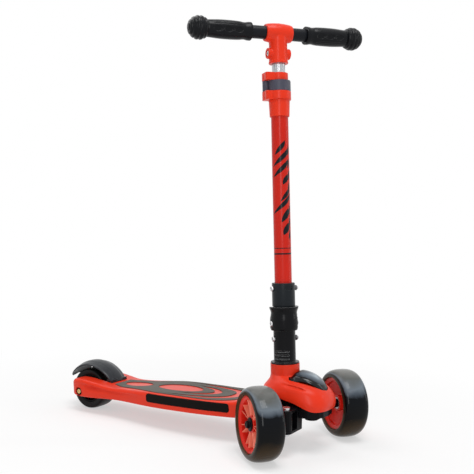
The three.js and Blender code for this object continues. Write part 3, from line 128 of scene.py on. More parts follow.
# %% Camera
YAW, PITCH, ROLL = -1.03665876, 0.02929585, -0.02288602
SENSOR = 36
FOCAL_IN_PICTURES = 740 / 474
back = Vector((math.sin(YAW) * math.cos(PITCH), -math.cos(YAW) * math.cos(PITCH), math.sin(PITCH)))
level = (-back).cross(Vector((0, 0, 1))).normalized()
plumb = (-back).cross(level)
right = math.cos(ROLL) * level + math.sin(ROLL) * plumb
down = math.cos(ROLL) * plumb - math.sin(ROLL) * level
camera_data = bpy.data.cameras.new("photographer")
camera_data.sensor_width = SENSOR
camera_data.lens = SENSOR * FOCAL_IN_PICTURES
camera_data.clip_start, camera_data.clip_end = 0.05, 50
camera = bpy.data.objects.new("photographer", camera_data)
turn = Matrix((right, -down, back)).transposed().to_4x4()
camera.matrix_world = Matrix.Translation((-1.129758, -0.529654 + BACK / 1000, 0.389948)) @ turn
scene = bpy.context.scene
scene.collection.objects.link(camera)
scene.camera = camera
print("camera lens in mm:", round(camera_data.lens, 2))

# %% [markdown]
# ## Node helpers
# Worlds, materials and Geometry Nodes are all trees of nodes. One helper makes a node, sets it and fills its
# inputs: a value goes in directly, and a socket or a node is linked. It keeps each later step short.

# %% Node helpers
def fill(tree, target, inputs):
    for key, value in inputs.items():
        if isinstance(value, bpy.types.Node):
            value = value.outputs[0]
        if isinstance(value, bpy.types.NodeSocket):
            tree.links.new(value, target.inputs[key])
        elif value is not None:
            target.inputs[key].default_value = value


def node(tree, kind, inputs=None, **settings):
    """A node with its settings and with its inputs filled, by their names or numbers."""
    made = tree.nodes.new(kind)
    for name, value in settings.items():
        setattr(made, name, value)
    fill(tree, made, inputs or {})
    return made


def math_node(tree, operation, first, second=None, clamp=False):
    return node(tree, "ShaderNodeMath", {0: first, 1: second}, operation=operation, use_clamp=clamp).outputs[0]


def vector_math(tree, operation, first, second=None):
    return node(tree, "ShaderNodeVectorMath", {0: first, 1: second}, operation=operation).outputs


def mix_node(tree, factor, first, second):
    return node(tree, "ShaderNodeMix", {0: factor, 6: first, 7: second}, data_type="RGBA").outputs[2]


def own_place(tree):
    return node(tree, "ShaderNodeTexCoord").outputs["Object"]


def noise_node(tree, scale, detail=3.0, vector=None):
    inputs = {"Detail": detail, "Scale": scale, "Vector": vector or own_place(tree)}
    return node(tree, "ShaderNodeTexNoise", inputs).outputs["Fac"]


def swing(tree, noise, amount):
    """A noise of 0 to 1 made into a change to both sides."""
    return math_node(tree, "MULTIPLY", math_node(tree, "SUBTRACT", noise, 0.5), amount)


def parts_of(tree, vector):
    """The X, Y and Z of a vector."""
    return node(tree, "ShaderNodeSeparateXYZ", {0: vector}).outputs


def own_map(tree):
    """How far round (X) and how far along (Y) a point is on its piece."""
    return parts_of(tree, node(tree, "ShaderNodeUVMap", uv_map="along"))


def facing(tree):
    """The parts of the surface's direction."""
    return parts_of(tree, node(tree, "ShaderNodeNewGeometry").outputs["Normal"])


def ramp(tree, factor, *stops):
    """Colours that blend from stop to stop. Each stop is a place with its colour."""
    made = node(tree, "ShaderNodeValToRGB", {0: factor})
    elements = made.color_ramp.elements
    for element, (place, color) in ((elements[0], stops[0]), (elements[1], stops[-1])):
        element.position, element.color = place, (*color, 1)
    for place, color in stops[1:-1]:
        elements.new(place).color = (*color, 1)
    return made.outputs[0]


def new_material(name):
    material = bpy.data.materials.new(name)
    material.use_nodes = True
    material.node_tree.nodes.clear()
    return material


def new_group(name, kind, inputs, outputs):
    """An empty group. An input is a name, a kind of socket and a first value, an output a name and a kind."""
    group = bpy.data.node_groups.new(name, kind)
    for label, socket_kind, value in inputs:
        socket = group.interface.new_socket(label, in_out="INPUT", socket_type="NodeSocket" + socket_kind)
        if value is not None:
            socket.default_value = value
    for label, socket_kind in outputs:
        group.interface.new_socket(label, in_out="OUTPUT", socket_type="NodeSocket" + socket_kind)
    return group, group.nodes.new("NodeGroupInput").outputs, group.nodes.new("NodeGroupOutput")


print("node helpers are ready")

# %% [markdown]
# ## Studio light
# The photograph has the even white light of a product studio. Four large soft lamps give the long soft
# highlights on the plastic: one above, one behind and a strip on each side. The floor is white where the
# camera sees it, yet it still takes the scooter's soft shadow, because it is part emission and part
# ordinary matt paint. The emission's share grows with the distance, so that no horizon shows.

# %% Lamps, world and floor
WHITE = (1, 1, 1, 1)
scene.view_settings.view_transform = "Standard"


def lamp(name, place, aim, size, watts, size_y=None):
    data = bpy.data.lights.new(name, "AREA")
    data.energy = watts
    data.size = size
    if size_y:
        data.shape = "RECTANGLE"
        data.size_y = size_y
    obj = bpy.data.objects.new(name, data)
    way = Vector(aim) - Vector(place)
    obj.matrix_world = Matrix.Translation(place) @ way.to_track_quat("-Z", "Y").to_matrix().to_4x4()
    scene.collection.objects.link(obj)


lamp("box above", (-0.68, -0.97, 3.4), (0, -0.05, 0.2), 1.58, 58)
lamp("wide box behind", (0.1, 0.9, 1.7), (0, 0.1, 0.2), 1.2, 8)
lamp("strip at the left", (-1.6, -0.9, 0.9), (0, -0.1, 0.25), 0.3, 8, 1.2)
lamp("strip at the right", (0.95, -1.6, 0.9), (0, -0.15, 0.3), 0.12, 3, 1.4)


def shown_rays(tree):
    """1 for rays from the camera and in mirrors and glass, else 0."""
    path = node(tree, "ShaderNodeLightPath").outputs
    direct = math_node(tree, "MAXIMUM", path["Is Camera Ray"], path["Is Glossy Ray"])
    return math_node(tree, "MAXIMUM", direct, path["Is Transmission Ray"])


world = bpy.data.worlds.new("white studio")
scene.world = world
world.use_nodes = True
tree = world.node_tree
tree.nodes.clear()
plain = node(tree, "ShaderNodeBackground", {"Color": WHITE, "Strength": 0.34})
seen = node(tree, "ShaderNodeBackground", {"Color": WHITE, "Strength": 1.0})
sky = node(tree, "ShaderNodeMixShader", {0: shown_rays(tree), 1: plain, 2: seen})
node(tree, "ShaderNodeOutputWorld", {0: sky})

floor_material = new_material("studio floor")
tree = floor_material.node_tree
matt = node(tree, "ShaderNodeBsdfDiffuse", {"Color": (0.95, 0.95, 0.95, 1)})
glow = node(tree, "ShaderNodeEmission", {"Color": WHITE})
distance = vector_math(tree, "LENGTH", own_place(tree))["Value"]
far_share = node(tree, "ShaderNodeMapRange", {
    "Value": distance, "From Min": 0.25, "From Max": 0.85, "To Min": 0.5}, interpolation_type="SMOOTHSTEP")
glow_share = math_node(tree, "MULTIPLY", shown_rays(tree), far_share)
surface = node(tree, "ShaderNodeMixShader", {0: glow_share, 1: matt, 2: glow})
node(tree, "ShaderNodeOutputMaterial", {0: surface})
floor_mesh = bpy.data.meshes.new("studio floor")
floor_corners = [(x, y, -0.0004) for x, y in ((-9, -9), (9, -9), (9, 9), (-9, 9))]
floor_mesh.from_pydata(floor_corners, [], [(0, 1, 2, 3)])
floor_mesh.materials.append(floor_material)
floor = bpy.data.objects.new("studio floor", floor_mesh)
scene.collection.objects.link(floor)
floor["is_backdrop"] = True

# %% [markdown]
# ## Shader groups
# Moulded plastic, rubber, paint and plated steel all show the same few effects at different strengths:
# corners that catch the light because they are slightly round, paler corners, a fine grain, and dust that
# settles on faces that look up. The paler corners are wear on most finishes and a painted highlight on the
# rim and the fold housing. Each effect is one node group with named inputs, built once and then set to
# suit each finish. Painting every effect into every material by hand would be the slower way.

# %% Group: rounded edges, and a pale corner mask for wear and painted highlights
edges, taken, given = new_group("Edges", "ShaderNodeTree", [("Radius", "Float", 0.0005)],
                                [("Normal", "Vector"), ("Wear and highlight", "Float")])
bevel = node(edges, "ShaderNodeBevel", {"Radius": taken["Radius"]}, samples=4)
true_normal = node(edges, "ShaderNodeNewGeometry").outputs["Normal"]
agree = vector_math(edges, "DOT_PRODUCT", bevel, true_normal)["Value"]
corner = math_node(edges, "MULTIPLY", math_node(edges, "SUBTRACT", 1.0, agree), 6.0)
patches = math_node(edges, "MULTIPLY", noise_node(edges, 90.0), corner, True)
fill(edges, given, {"Normal": bevel, "Wear and highlight": patches})

# %% Group: fine grain
grain, taken, given = new_group("Grain", "ShaderNodeTree", [
    ("Scale", "Float", 900.0), ("Roughness", "Float", 0.4), ("Variation", "Float", 0.1)],
    [("Roughness", "Float"), ("Height", "Float")])
fine = noise_node(grain, taken["Scale"], 2.0)
swings = [swing(grain, noise, taken["Variation"]) for noise in (noise_node(grain, 28.0, 4.0), fine)]
rough = math_node(grain, "ADD", taken["Roughness"], math_node(grain, "ADD", *swings), True)
fill(grain, given, {"Roughness": rough, "Height": fine})

# %% Group: dust on faces that look up, and pale corners: light scuffs on most finishes, painted edge highlights on the rim and the fold housing
dust, taken, given = new_group("Dust", "ShaderNodeTree", [
    ("Color", "Color", (0.5, 0.5, 0.5, 1)), ("Worn and highlight color", "Color", (0.7, 0.7, 0.7, 1)), ("Wear and highlight", "Float", 0.0),
    ("Wear amount", "Float", 0.3), ("Dust amount", "Float", 0.1)], [("Color", "Color")])
up = math_node(dust, "MULTIPLY", facing(dust)["Z"], noise_node(dust, 40.0, 6.0), True)
worn_and_highlight = mix_node(dust, math_node(dust, "MULTIPLY", taken["Wear and highlight"], taken["Wear amount"], True), taken["Color"],
                taken["Worn and highlight color"])
shade = swing(dust, noise_node(dust, 14.0, 3.0), 0.12)
tint = node(dust, "ShaderNodeHueSaturation", {"Value": math_node(dust, "ADD", shade, 1.0), "Color": worn_and_highlight})
settled = math_node(dust, "MULTIPLY", up, taken["Dust amount"], True)
fill(dust, given, {"Color": mix_node(dust, settled, tint.outputs[0], (0.46, 0.44, 0.41, 1))})

# %% Group: fine lines along one direction, as on drawn tube and ground steel
lines, taken, given = new_group("Drawn lines", "ShaderNodeTree", [
    ("Stretch", "Vector", (1500, 1500, 20)), ("Roughness", "Float", 0.3), ("Variation", "Float", 0.15)],
    [("Roughness", "Float"), ("Height", "Float")])
stretched = vector_math(lines, "MULTIPLY", own_place(lines), taken["Stretch"])[0]
streak = noise_node(lines, 1.0, 2.0, stretched)
rough = math_node(lines, "ADD", taken["Roughness"], swing(lines, streak, taken["Variation"]), True)
fill(lines, given, {"Roughness": rough, "Height": streak})
print("shader groups:", [g.name for g in bpy.data.node_groups])

# %% [markdown]
# ## Finishes
# One function places the groups in a material with the values of that finish. Colours are chosen to match
# the photograph: an orange red, near blacks that differ in gloss, and smoky urethane on the front wheels.
# Where a piece has more than one colour, a small function paints it from the piece's own map or directions.
# Some of this is painted light: the sheen and brown glow on the tyres, the pale tops of the rim's ribs and
# the pale reflection in the middle of the visor.

# %% Finish maker
def bumped(tree, height, normal, strength, distance):
    return node(tree, "ShaderNodeBump", {"Strength": strength, "Distance": distance, "Height": height,
                                         "Normal": normal}).outputs[0]


def finish(name, color, roughness, grain_scale, bump=0.2, variation=0.1, *, dusty, worn_and_highlight=None, wear_and_highlight=0.3,
           metallic=0.0, gloss=0.35, edge=0.5, paint=None, relief=None, drawn=None):
    """A material. paint(tree) may give its colour and relief(tree) a height of its own."""
    material = new_material(name)
    tree = material.node_tree
    rim = node(tree, "ShaderNodeGroup", {"Radius": edge * 0.001}, node_tree=edges)
    # worn_and_highlight is the colour of the pale corners: wear on most finishes, a painted edge highlight on
    # the rim and the fold housing.
    worn_and_highlight = worn_and_highlight or tuple(min(1, c * 1.6 + 0.06) for c in color)
    colour = node(tree, "ShaderNodeGroup", {
        "Color": paint(tree) if paint else (*color, 1), "Worn and highlight color": (*worn_and_highlight, 1), "Wear and highlight": rim.outputs["Wear and highlight"],
        "Wear amount": wear_and_highlight, "Dust amount": dusty}, node_tree=dust)
    group, own = (lines, {"Stretch": drawn}) if drawn else (grain, {"Scale": grain_scale})
    texture = node(tree, "ShaderNodeGroup", {**own, "Roughness": roughness, "Variation": variation},
                   node_tree=group).outputs
    normal = bumped(tree, texture["Height"], rim.outputs["Normal"], bump, 0.00012)
    if relief:
        height, strength, distance = relief(tree)
        normal = bumped(tree, height, normal, strength, distance)
    shader = node(tree, "ShaderNodeBsdfPrincipled", {
        "Base Color": colour, "Roughness": texture["Roughness"], "Normal": normal, "Metallic": metallic,
        "Specular IOR Level": gloss})
    node(tree, "ShaderNodeOutputMaterial", {0: shader})
    return material


# %% Plastics
RED = (0.77, 0.036, 0.011)
BLACK = (0.003, 0.003, 0.004)
red_plastic = finish("moulded red plastic", RED, 0.30, 1100, 0.12, 0.08, worn_and_highlight=(0.90, 0.14, 0.08), wear_and_highlight=0.35,
                     dusty=0.0, gloss=0.18, edge=0.8)
# The rim's pale corner colour is a painted highlight on its edges.
rim_plastic_edge_highlight = finish("deep red rim plastic with painted edge highlights", (0.72, 0.020, 0.010), 0.30, 1100, 0.1, 0.08,
                     worn_and_highlight=(1.0, 0.30, 0.20), wear_and_highlight=0.9, dusty=0.0, gloss=0.16, edge=0.8)


def painted_highlight_tops(tree):
    """Ribs with a painted highlight: pale where they face outwards and deep red on their flanks."""
    sideways = parts_of(tree, node(tree, "ShaderNodeTexCoord").outputs["Normal"])["X"]
    painted_highlight_share = math_node(tree, "GREATER_THAN", math_node(tree, "ABSOLUTE", sideways), 0.5)
    return mix_node(tree, painted_highlight_share, (0.60, 0.016, 0.009, 1), (1.0, 0.24, 0.15, 1))


# The ribs' pale outward faces are a painted highlight.
rib_plastic_painted_highlight = finish("rim rib plastic with painted highlight", (1.0, 0.15, 0.085), 0.30, 1100, 0.1, 0.08,
                     worn_and_highlight=(1.0, 0.42, 0.30), wear_and_highlight=0.0, dusty=0.0, gloss=0.2, edge=0.6, paint=painted_highlight_tops)
black_plastic = finish("black moulded plastic", BLACK, 0.28, 1500, 0.3, 0.12, worn_and_highlight=(0.07, 0.07, 0.075),
                       wear_and_highlight=0.5, dusty=0.002, gloss=0.08, edge=0.6)
# The housing's pale corner colour is a painted highlight on its rims and groove edges.
housing_plastic_edge_highlight = finish("black housing plastic with painted edge highlights", BLACK, 0.24, 1500, 0.3, 0.1, worn_and_highlight=(0.50, 0.51, 0.52),
                         wear_and_highlight=0.9, dusty=0.002, gloss=0.12, edge=1.1)
fender_plastic = finish("dark grey fender plastic", (0.017, 0.020, 0.025), 0.30, 1500, 0.35, 0.12,
                        worn_and_highlight=(0.11, 0.115, 0.12), wear_and_highlight=0.4, dusty=0.004, gloss=0.26, edge=0.6)
socket_plastic = finish("slate socket plastic", (0.008, 0.011, 0.014), 0.32, 1500, 0.35, 0.12,
                        worn_and_highlight=(0.09, 0.095, 0.10), wear_and_highlight=0.5, dusty=0.008, gloss=0.16, edge=0.6)
band_plastic = finish("blue grey clamp plastic", (0.062, 0.062, 0.088), 0.42, 1500, 0.4, 0.12,
                      worn_and_highlight=(0.13, 0.13, 0.16), wear_and_highlight=0.4, dusty=0.02, gloss=0.25, edge=0.6)


def bordered_with_painted_reflection(tree):
    """Smoky glass with a painted pale reflection in its middle that darkens to a black border. The visor's map
    gives how near a point is to the rim.
    """
    return ramp(tree, own_map(tree)["Y"], (0.0, (0.380, 0.450, 0.500)), (0.42, (0.110, 0.140, 0.175)),
                (0.74, (0.034, 0.044, 0.058)), (0.77, (0.001, 0.001, 0.002)))


# The visor's pale middle is a painted reflection.
smoked_plastic = finish("smoked glossy visor with painted reflection", (0.030, 0.040, 0.055), 0.09, 1400, 0.04, 0.04,
                        worn_and_highlight=(0.01, 0.01, 0.012), wear_and_highlight=0.6, dusty=0.0, gloss=0.34, edge=0.9, paint=bordered_with_painted_reflection)

# %% Metals and paint
METAL = {"bump": 0.15, "variation": 0.14, "metallic": 1.0, "edge": 0.4}
YELLOW = (0.64, 0.46, 0.20)
steel = finish("zinc plated steel", (0.60, 0.60, 0.61), 0.30, 1600, worn_and_highlight=(0.75, 0.75, 0.76), dusty=0.05,
               **METAL)
dark_steel = finish("blackened steel", (0.10, 0.10, 0.105), 0.34, 1600, worn_and_highlight=(0.5, 0.5, 0.5), wear_and_highlight=0.5,
                    dusty=0.02, **METAL)


def brass_middle(tree):
    """Yellow zinc on the head's middle, and black on the flange round it."""
    middle = (0, (REAR_Y + BACK) / 1000, REAR_AXLE_Z / 1000)
    away = vector_math(tree, "SUBTRACT", own_place(tree), middle)[0]
    flat = vector_math(tree, "MULTIPLY", away, (0, 1, 1))[0]
    outside = math_node(tree, "GREATER_THAN", vector_math(tree, "LENGTH", flat)["Value"], 0.0042)
    return mix_node(tree, outside, (*YELLOW, 1), (0.010, 0.008, 0.007, 1))


brass = finish("yellow zinc bolt", YELLOW, 0.30, 1600, worn_and_highlight=(0.4, 0.3, 0.15), wear_and_highlight=0.1, dusty=0.02,
               paint=brass_middle, **METAL)
aluminium = finish("satin fluted aluminium", (0.47, 0.48, 0.50), 0.26, 1500, 0.12, 0.12, worn_and_highlight=(0.8, 0.8, 0.8),
                   wear_and_highlight=0.2, dusty=0.02, metallic=1.0, edge=0.3, drawn=(1600, 1600, 25))
bar_paint = finish("black powder coated bar", (0.005, 0.006, 0.009), 0.34, 2600, 0.5, 0.12,
                   worn_and_highlight=(0.15, 0.15, 0.16), wear_and_highlight=0.3, dusty=0.006, gloss=0.16, edge=0.4)


# %% Rubbers and urethane
def studs(scale, sharp, strength):
    """A relief of small round studs."""
    def relief(tree):
        cells = node(tree, "ShaderNodeTexVoronoi", {
            "Scale": scale, "Randomness": 0.35, "Vector": own_place(tree)})
        slope = math_node(tree, "MULTIPLY", cells.outputs["Distance"], sharp)
        return math_node(tree, "SUBTRACT", 1.0, slope, True), strength, 0.0004
    return relief


mat_rubber = finish("textured mat rubber", (0.082, 0.075, 0.062), 0.60, 700, 0.5, 0.16,
                    worn_and_highlight=(0.16, 0.155, 0.14), wear_and_highlight=0.3, dusty=0.10, gloss=0.2, edge=0.3,
                    relief=studs(420.0, 1.6, 0.5))
strip_rubber = finish("side grip strip", (0.004, 0.003, 0.0025), 0.55, 900, 0.5, 0.16, dusty=0.006, gloss=0.08,
                      edge=0.4, relief=studs(520.0, 1.5, 0.6))
grip_rubber = finish("handle rubber", (0.004, 0.0045, 0.006), 0.26, 1300, 0.45, 0.14, worn_and_highlight=(0.04, 0.04, 0.04),
                     wear_and_highlight=0.3, dusty=0.004, gloss=0.14, edge=0.4)


def smoky(tree):
    """Urethane with painted light: a pale painted sheen where it looks up and a painted brown glow where it
    looks down. Its own brown is at the shoulders.
    """
    cloudy = math_node(tree, "ADD", swing(tree, noise_node(tree, 30.0, 4.0), 0.16), 0.5)
    level = math_node(tree, "ADD", math_node(tree, "MULTIPLY", facing(tree)["Z"], 0.5), cloudy)
    body = ramp(tree, level, (0.0, (0.050, 0.030, 0.012)), (0.26, (0.030, 0.017, 0.006)),
                (0.40, (0.002, 0.002, 0.002)), (0.69, (0.001, 0.002, 0.004)), (0.73, (0.060, 0.075, 0.095)),
                (0.80, (0.15, 0.18, 0.21)), (0.90, (0.11, 0.115, 0.11)), (1.0, (0.20, 0.20, 0.19)))
    shoulders = ramp(tree, own_map(tree)["Y"], (0.06, (1, 1, 1)), (0.20, (0, 0, 0)), (0.80, (0, 0, 0)),
                     (0.94, (1, 1, 1)))
    return mix_node(tree, shoulders, body, (0.085, 0.056, 0.028, 1))


# The tyre's colour holds a painted sheen on top and a painted brown glow below.
tyre_urethane_painted_light = finish("smoky wheel urethane with painted light", (0.02, 0.018, 0.016), 0.10, 1200, 0.03, 0.05,
                       worn_and_highlight=(0.10, 0.07, 0.04), wear_and_highlight=0.2, dusty=0.0, gloss=0.12, edge=0.6, paint=smoky)
rear_urethane = finish("black rear wheel urethane", (0.005, 0.0045, 0.0045), 0.36, 1200, 0.2, 0.12,
                       dusty=0.01, gloss=0.15, edge=0.6)
print("finishes:", len(bpy.data.materials) - 1)

# %% [markdown]
# ## Making shapes
# Most of the scooter is turned, lofted or extruded. A turned piece is an outline swept round +Z, a lofted one
# is a row of closed sections, and an extruded one is a flat outline with a thickness. Outlines get small
# fillets at their corners, because moulded and machined parts have no knife edges and because the light
# needs a round corner to catch on.

# %% Turned, lofted and extruded shapes
def mesh_object(name, points, faces, place, along=None):
    mesh = bpy.data.meshes.new(name)
    mesh.from_pydata([place @ Vector(p) for p in points], [], faces)
    if along is not None:
        layer = mesh.uv_layers.new(name="along")
        for loop in mesh.loops:
            layer.data[loop.index].uv = along[loop.vertex_index]
    mesh.update()
    obj = bpy.data.objects.new(name, mesh)
    scene.collection.objects.link(obj)
    return obj


def rounded(outline, radius, steps=3):
    """The closed outline with a fillet at each corner that is off the axis."""
    made = []
    count = len(outline)
    for i, here in enumerate(outline):
        before, after = outline[i - 1], outline[(i + 1) % count]
        p, a, b = Vector(here), Vector(before), Vector(after)
        size = min(radius, (a - p).length * 0.45, (b - p).length * 0.45)
        if here[0] < 1e-6 or size < 0.02 or (a - p).angle(p - b, 0) < math.radians(8):
            made.append(tuple(here))
            continue
        start, end = p + (a - p).normalized() * size, p + (b - p).normalized() * size
        for k in range(steps + 1):
            t = k / steps
            made.append(tuple((1 - t) ** 2 * start + 2 * t * (1 - t) * p + t ** 2 * end))
    return made


def turned(name, outline, place, sides, fillet, bulge=None):
    """An outline of (radius, height) turned about +Z. bulge(turn, radius, height) may add to the radius."""
    outline = rounded(outline, fillet) if fillet else outline
    lengths = [0.0]
    for a, b in zip(outline, outline[1:]):
        lengths.append(lengths[-1] + math.dist(a, b))
    points, rows, along = [], [], []
    for (radius, height), length in zip(outline, lengths):
        row = []
        for i in range(1 if radius < 1e-6 else sides):
            angle = 2 * math.pi * i / sides
            out = radius + (bulge(angle, radius, height) if bulge and radius > 1e-6 else 0)
            row.append(len(points))
            points.append((*polar(out, angle), height))
            along.append((i / sides, length / lengths[-1]))
        rows.append(row)
    faces = []
    for k, low in enumerate(rows):
        high = rows[(k + 1) % len(rows)]
        if len(low) == 1 and len(high) == 1:
            continue
        for i in range(sides):
            j = (i + 1) % sides
            if len(low) == 1:
                faces.append((low[0], high[j], high[i]))
            elif len(high) == 1:
                faces.append((low[i], low[j], high[0]))
            else:
                faces.append((low[i], low[j], high[j], high[i]))
    return outwards(mesh_object(name, points, faces, place, along))


def outwards(obj):
    """Turns the faces over if the closed mesh is inside out."""
    mesh = obj.data
    volume = 0.0
    for face in mesh.polygons:
        corner_points = [mesh.vertices[i].co for i in face.vertices]
        for p, q in zip(corner_points[1:], corner_points[2:]):
            volume += corner_points[0].dot(p.cross(q))
    if volume < 0:
        mesh.flip_normals()
    return obj


def lofted(name, sections, place, closed=False):
    """A skin over sections of equally many points, with a fan at each end unless the row closes."""
    count = len(sections[0])
    points = [p for section in sections for p in section]
    faces = []
    for k in range(len(sections) if closed else len(sections) - 1):
        low, high = k * count, ((k + 1) % len(sections)) * count
        faces += [(low + i, low + (i + 1) % count, high + (i + 1) % count, high + i) for i in range(count)]
    if not closed:
        for k, flip in ((0, True), (len(sections) - 1, False)):
            centre = tuple(sum(p[a] for p in sections[k]) / count for a in range(3))
            points.append(centre)
            for i in range(count):
                j = (i + 1) % count
                faces.append((len(points) - 1, k * count + (j if flip else i), k * count + (i if flip else j)))
    return outwards(mesh_object(name, points, faces, place))


def prism(name, outline, low, high, place):
    """A flat outline between two heights."""
    count = len(outline)
    points = [(x, y, z) for z in (low, high) for x, y in outline]
    faces = [tuple(range(count))[::-1], tuple(range(count, 2 * count))]
    faces += [(i, (i + 1) % count, count + (i + 1) % count, count + i) for i in range(count)]
    return outwards(mesh_object(name, points, faces, place))


def block(name, x, y, z, place):
    """A box between two values of each of x, y and z."""
    return prism(name, [(x[0], y[0]), (x[1], y[0]), (x[1], y[1]), (x[0], y[1])], z[0], z[1], place)


def rod_along(name, radius, low, high, place, sides=48, fillet=0.0):
    return turned(name, [(0, low), (radius, low), (radius, high), (0, high)], place, sides, fillet)

# %% [markdown]
# ## Joining and carving
# Holes, pockets and slots are cut with Boolean modifiers, as they would be by a mould's cores. The exact
# solver for closed meshes is quick and keeps the rest of the surface as it was. Soft moulded junctions,
# such as where the handlebar's socket grows out of its sleeve, are made another way: the bodies are laid
# over each other, remeshed as one skin and smoothed, which rounds the inner corner as a mould does.

# %% Boolean, remesh and finishing helpers
def discard(obj):
    mesh = obj.data
    bpy.data.objects.remove(obj)
    bpy.data.meshes.remove(mesh)


def settle(obj):
    """Turns what the modifiers show into the object's own mesh."""
    depsgraph = bpy.context.evaluated_depsgraph_get()
    mesh = bpy.data.meshes.new_from_object(obj.evaluated_get(depsgraph))
    old = obj.data
    obj.modifiers.clear()
    obj.data = mesh
    bpy.data.meshes.remove(old)
    return obj


def combine(first, others, operation):
    for other in others:
        modifier = first.modifiers.new("combine", "BOOLEAN")
        modifier.operation = operation
        modifier.solver = "MANIFOLD"
        modifier.object = other
        settle(first)
        discard(other)
    return first


def carve(first, *others):
    return combine(first, others, "DIFFERENCE")


def unite(first, *others):
    return combine(first, others, "UNION")


def keep_inside(first, *others):
    return combine(first, others, "INTERSECT")


def gather(name, pieces):
    """Lays several closed shells in one mesh."""
    points, faces = [], []
    for piece in pieces:
        start = len(points)
        points += [v.co.copy() for v in piece.data.vertices]
        faces += [tuple(start + i for i in f.vertices) for f in piece.data.polygons]
        discard(piece)
    return mesh_object(name, points, faces, HERE)


def melted(obj, voxel, rounds):
    """One skin over what overlaps, with its inner corners rounded."""
    remesh = obj.modifiers.new("one skin", "REMESH")
    remesh.mode = "VOXEL"
    remesh.voxel_size = voxel * 0.001
    soften = obj.modifiers.new("soften", "SMOOTH")
    soften.factor = 0.5
    soften.iterations = rounds
    return settle(obj)


def round_off(obj, radius, corner):
    """Rounds the edges that are sharper than a corner in degrees."""
    rounding = obj.modifiers.new("round", "BEVEL")
    rounding.width = radius * 0.001
    rounding.segments = 3
    rounding.angle_limit = math.radians(corner)
    return settle(obj)


def place_piece(obj, body, slot, material, *replaced, angle=32):
    """Gives a finished piece its finish, its body and the nodes that it stands for."""
    if material is not None:
        obj.data.materials.clear()
        obj.data.materials.append(material)
    obj.data.shade_smooth()
    obj.data.set_sharp_from_angle(angle=math.radians(angle))
    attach(obj, body)
    if replaced:
        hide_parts(*replaced)
    print(obj.name, "on", body, "with", len(obj.data.polygons), "faces")
    return obj


def curve_through(table, share):
    """A smooth value of each column of the table at a share of its first column."""
    last = len(table) - 1
    k = max(1, next((i for i, row in enumerate(table) if row[0] >= share), last))
    low, high = table[k - 1], table[k]
    width = high[0] - low[0]
    t = (share - low[0]) / width
    made = []
    for c in range(1, len(low)):
        step = (high[c] - low[c]) / width
        before = (low[c] - table[k - 2][c]) / (low[0] - table[k - 2][0]) if k > 1 else step
        after = (table[k + 1][c] - high[c]) / (table[k + 1][0] - high[0]) if k < last else step
        m0 = 0 if before * step <= 0 else (before + step) / 2
        m1 = 0 if after * step <= 0 else (after + step) / 2
        made.append((2 * t ** 3 - 3 * t ** 2 + 1) * low[c] + (t ** 3 - 2 * t ** 2 + t) * width * m0
                    + (3 * t ** 2 - 2 * t ** 3) * high[c] + (t ** 3 - t ** 2) * width * m1)
    return made


# %% [markdown]
# ## Geometry Nodes for what repeats
# Ribs are one small shape set out many times, and a spring is one wire along a helix. Three trees do this
# work. The first turns copies round an axis, the second sets them out in a row, and the third sweeps a round
# wire along a path. Each ends by making the copies real and giving them a material.

# %% Trees: ring of copies, row of copies, wire along a path
def new_tree(name, *inputs):
    return new_group(name, "GeometryNodeTree", [
        ("Geometry", "Geometry", None), *inputs, ("Material", "Material", None)], [("Geometry", "Geometry")])


def end_tree(tree, taken, given, geometry):
    real = node(tree, "GeometryNodeRealizeInstances", {0: geometry})
    painted = node(tree, "GeometryNodeSetMaterial", {"Geometry": real, "Material": taken["Material"]})
    fill(tree, given, {0: painted})


ring_tree, taken, given = new_tree("Ring of copies", ("Count", "Int", 6), ("Start turn", "Float", 0.0))
spots = node(ring_tree, "GeometryNodePoints", {"Count": taken["Count"]})
one_turn = math_node(ring_tree, "DIVIDE", 2 * math.pi, taken["Count"])
turned_by = math_node(ring_tree, "MULTIPLY", node(ring_tree, "GeometryNodeInputIndex"), one_turn)
turned_by = math_node(ring_tree, "ADD", turned_by, taken["Start turn"])
about = node(ring_tree, "ShaderNodeCombineXYZ", {"Z": turned_by})
end_tree(ring_tree, taken, given, node(ring_tree, "GeometryNodeInstanceOnPoints", {
    "Points": spots, "Instance": taken["Geometry"], "Rotation": about}))

row_tree, taken, given = new_tree("Row of copies", ("Count", "Int", 4), ("Step", "Vector", (0, 0, 0)))
line = node(row_tree, "GeometryNodeMeshLine", {"Count": taken["Count"], "Offset": taken["Step"]})
end_tree(row_tree, taken, given, node(row_tree, "GeometryNodeInstanceOnPoints", {
    "Points": line, "Instance": taken["Geometry"]}))

wire_tree, taken, given = new_tree("Wire along a path", ("Wire radius", "Float", 0.0005), ("Sides", "Int", 12))
path = node(wire_tree, "GeometryNodeMeshToCurve", {"Mesh": taken["Geometry"]})
section = node(wire_tree, "GeometryNodeCurvePrimitiveCircle", {"Resolution": taken["Sides"],
                                                               "Radius": taken["Wire radius"]})
end_tree(wire_tree, taken, given, node(wire_tree, "GeometryNodeCurveToMesh", {
    "Curve": path, "Profile Curve": section, "Fill Caps": True}))


def grow(obj, tree, place, **values):
    """Runs a tree on the object's own mesh, makes the result plain and carries it to its place."""
    modifier = obj.modifiers.new(tree.name, "NODES")
    modifier.node_group = tree
    named = {item.name: item.identifier for item in tree.interface.items_tree if item.in_out == "INPUT"}
    for label, value in values.items():
        modifier[named[label.replace("_", " ")]] = value
    settle(obj)
    obj.data.transform(place)
    return obj


print("trees:", [g.name for g in bpy.data.node_groups if g.bl_idname == "GeometryNodeTree"])

# %% [markdown]
# ## Front wheels
# Each front wheel is a wide urethane tyre cast round a red moulded rim. The tyre is turned from a squarish
# outline with full shoulders. The rim is turned as a drum with a thin dished web. One pair of thin blades
# stands for its ribs, and the ring tree sets that pair out round the hub.

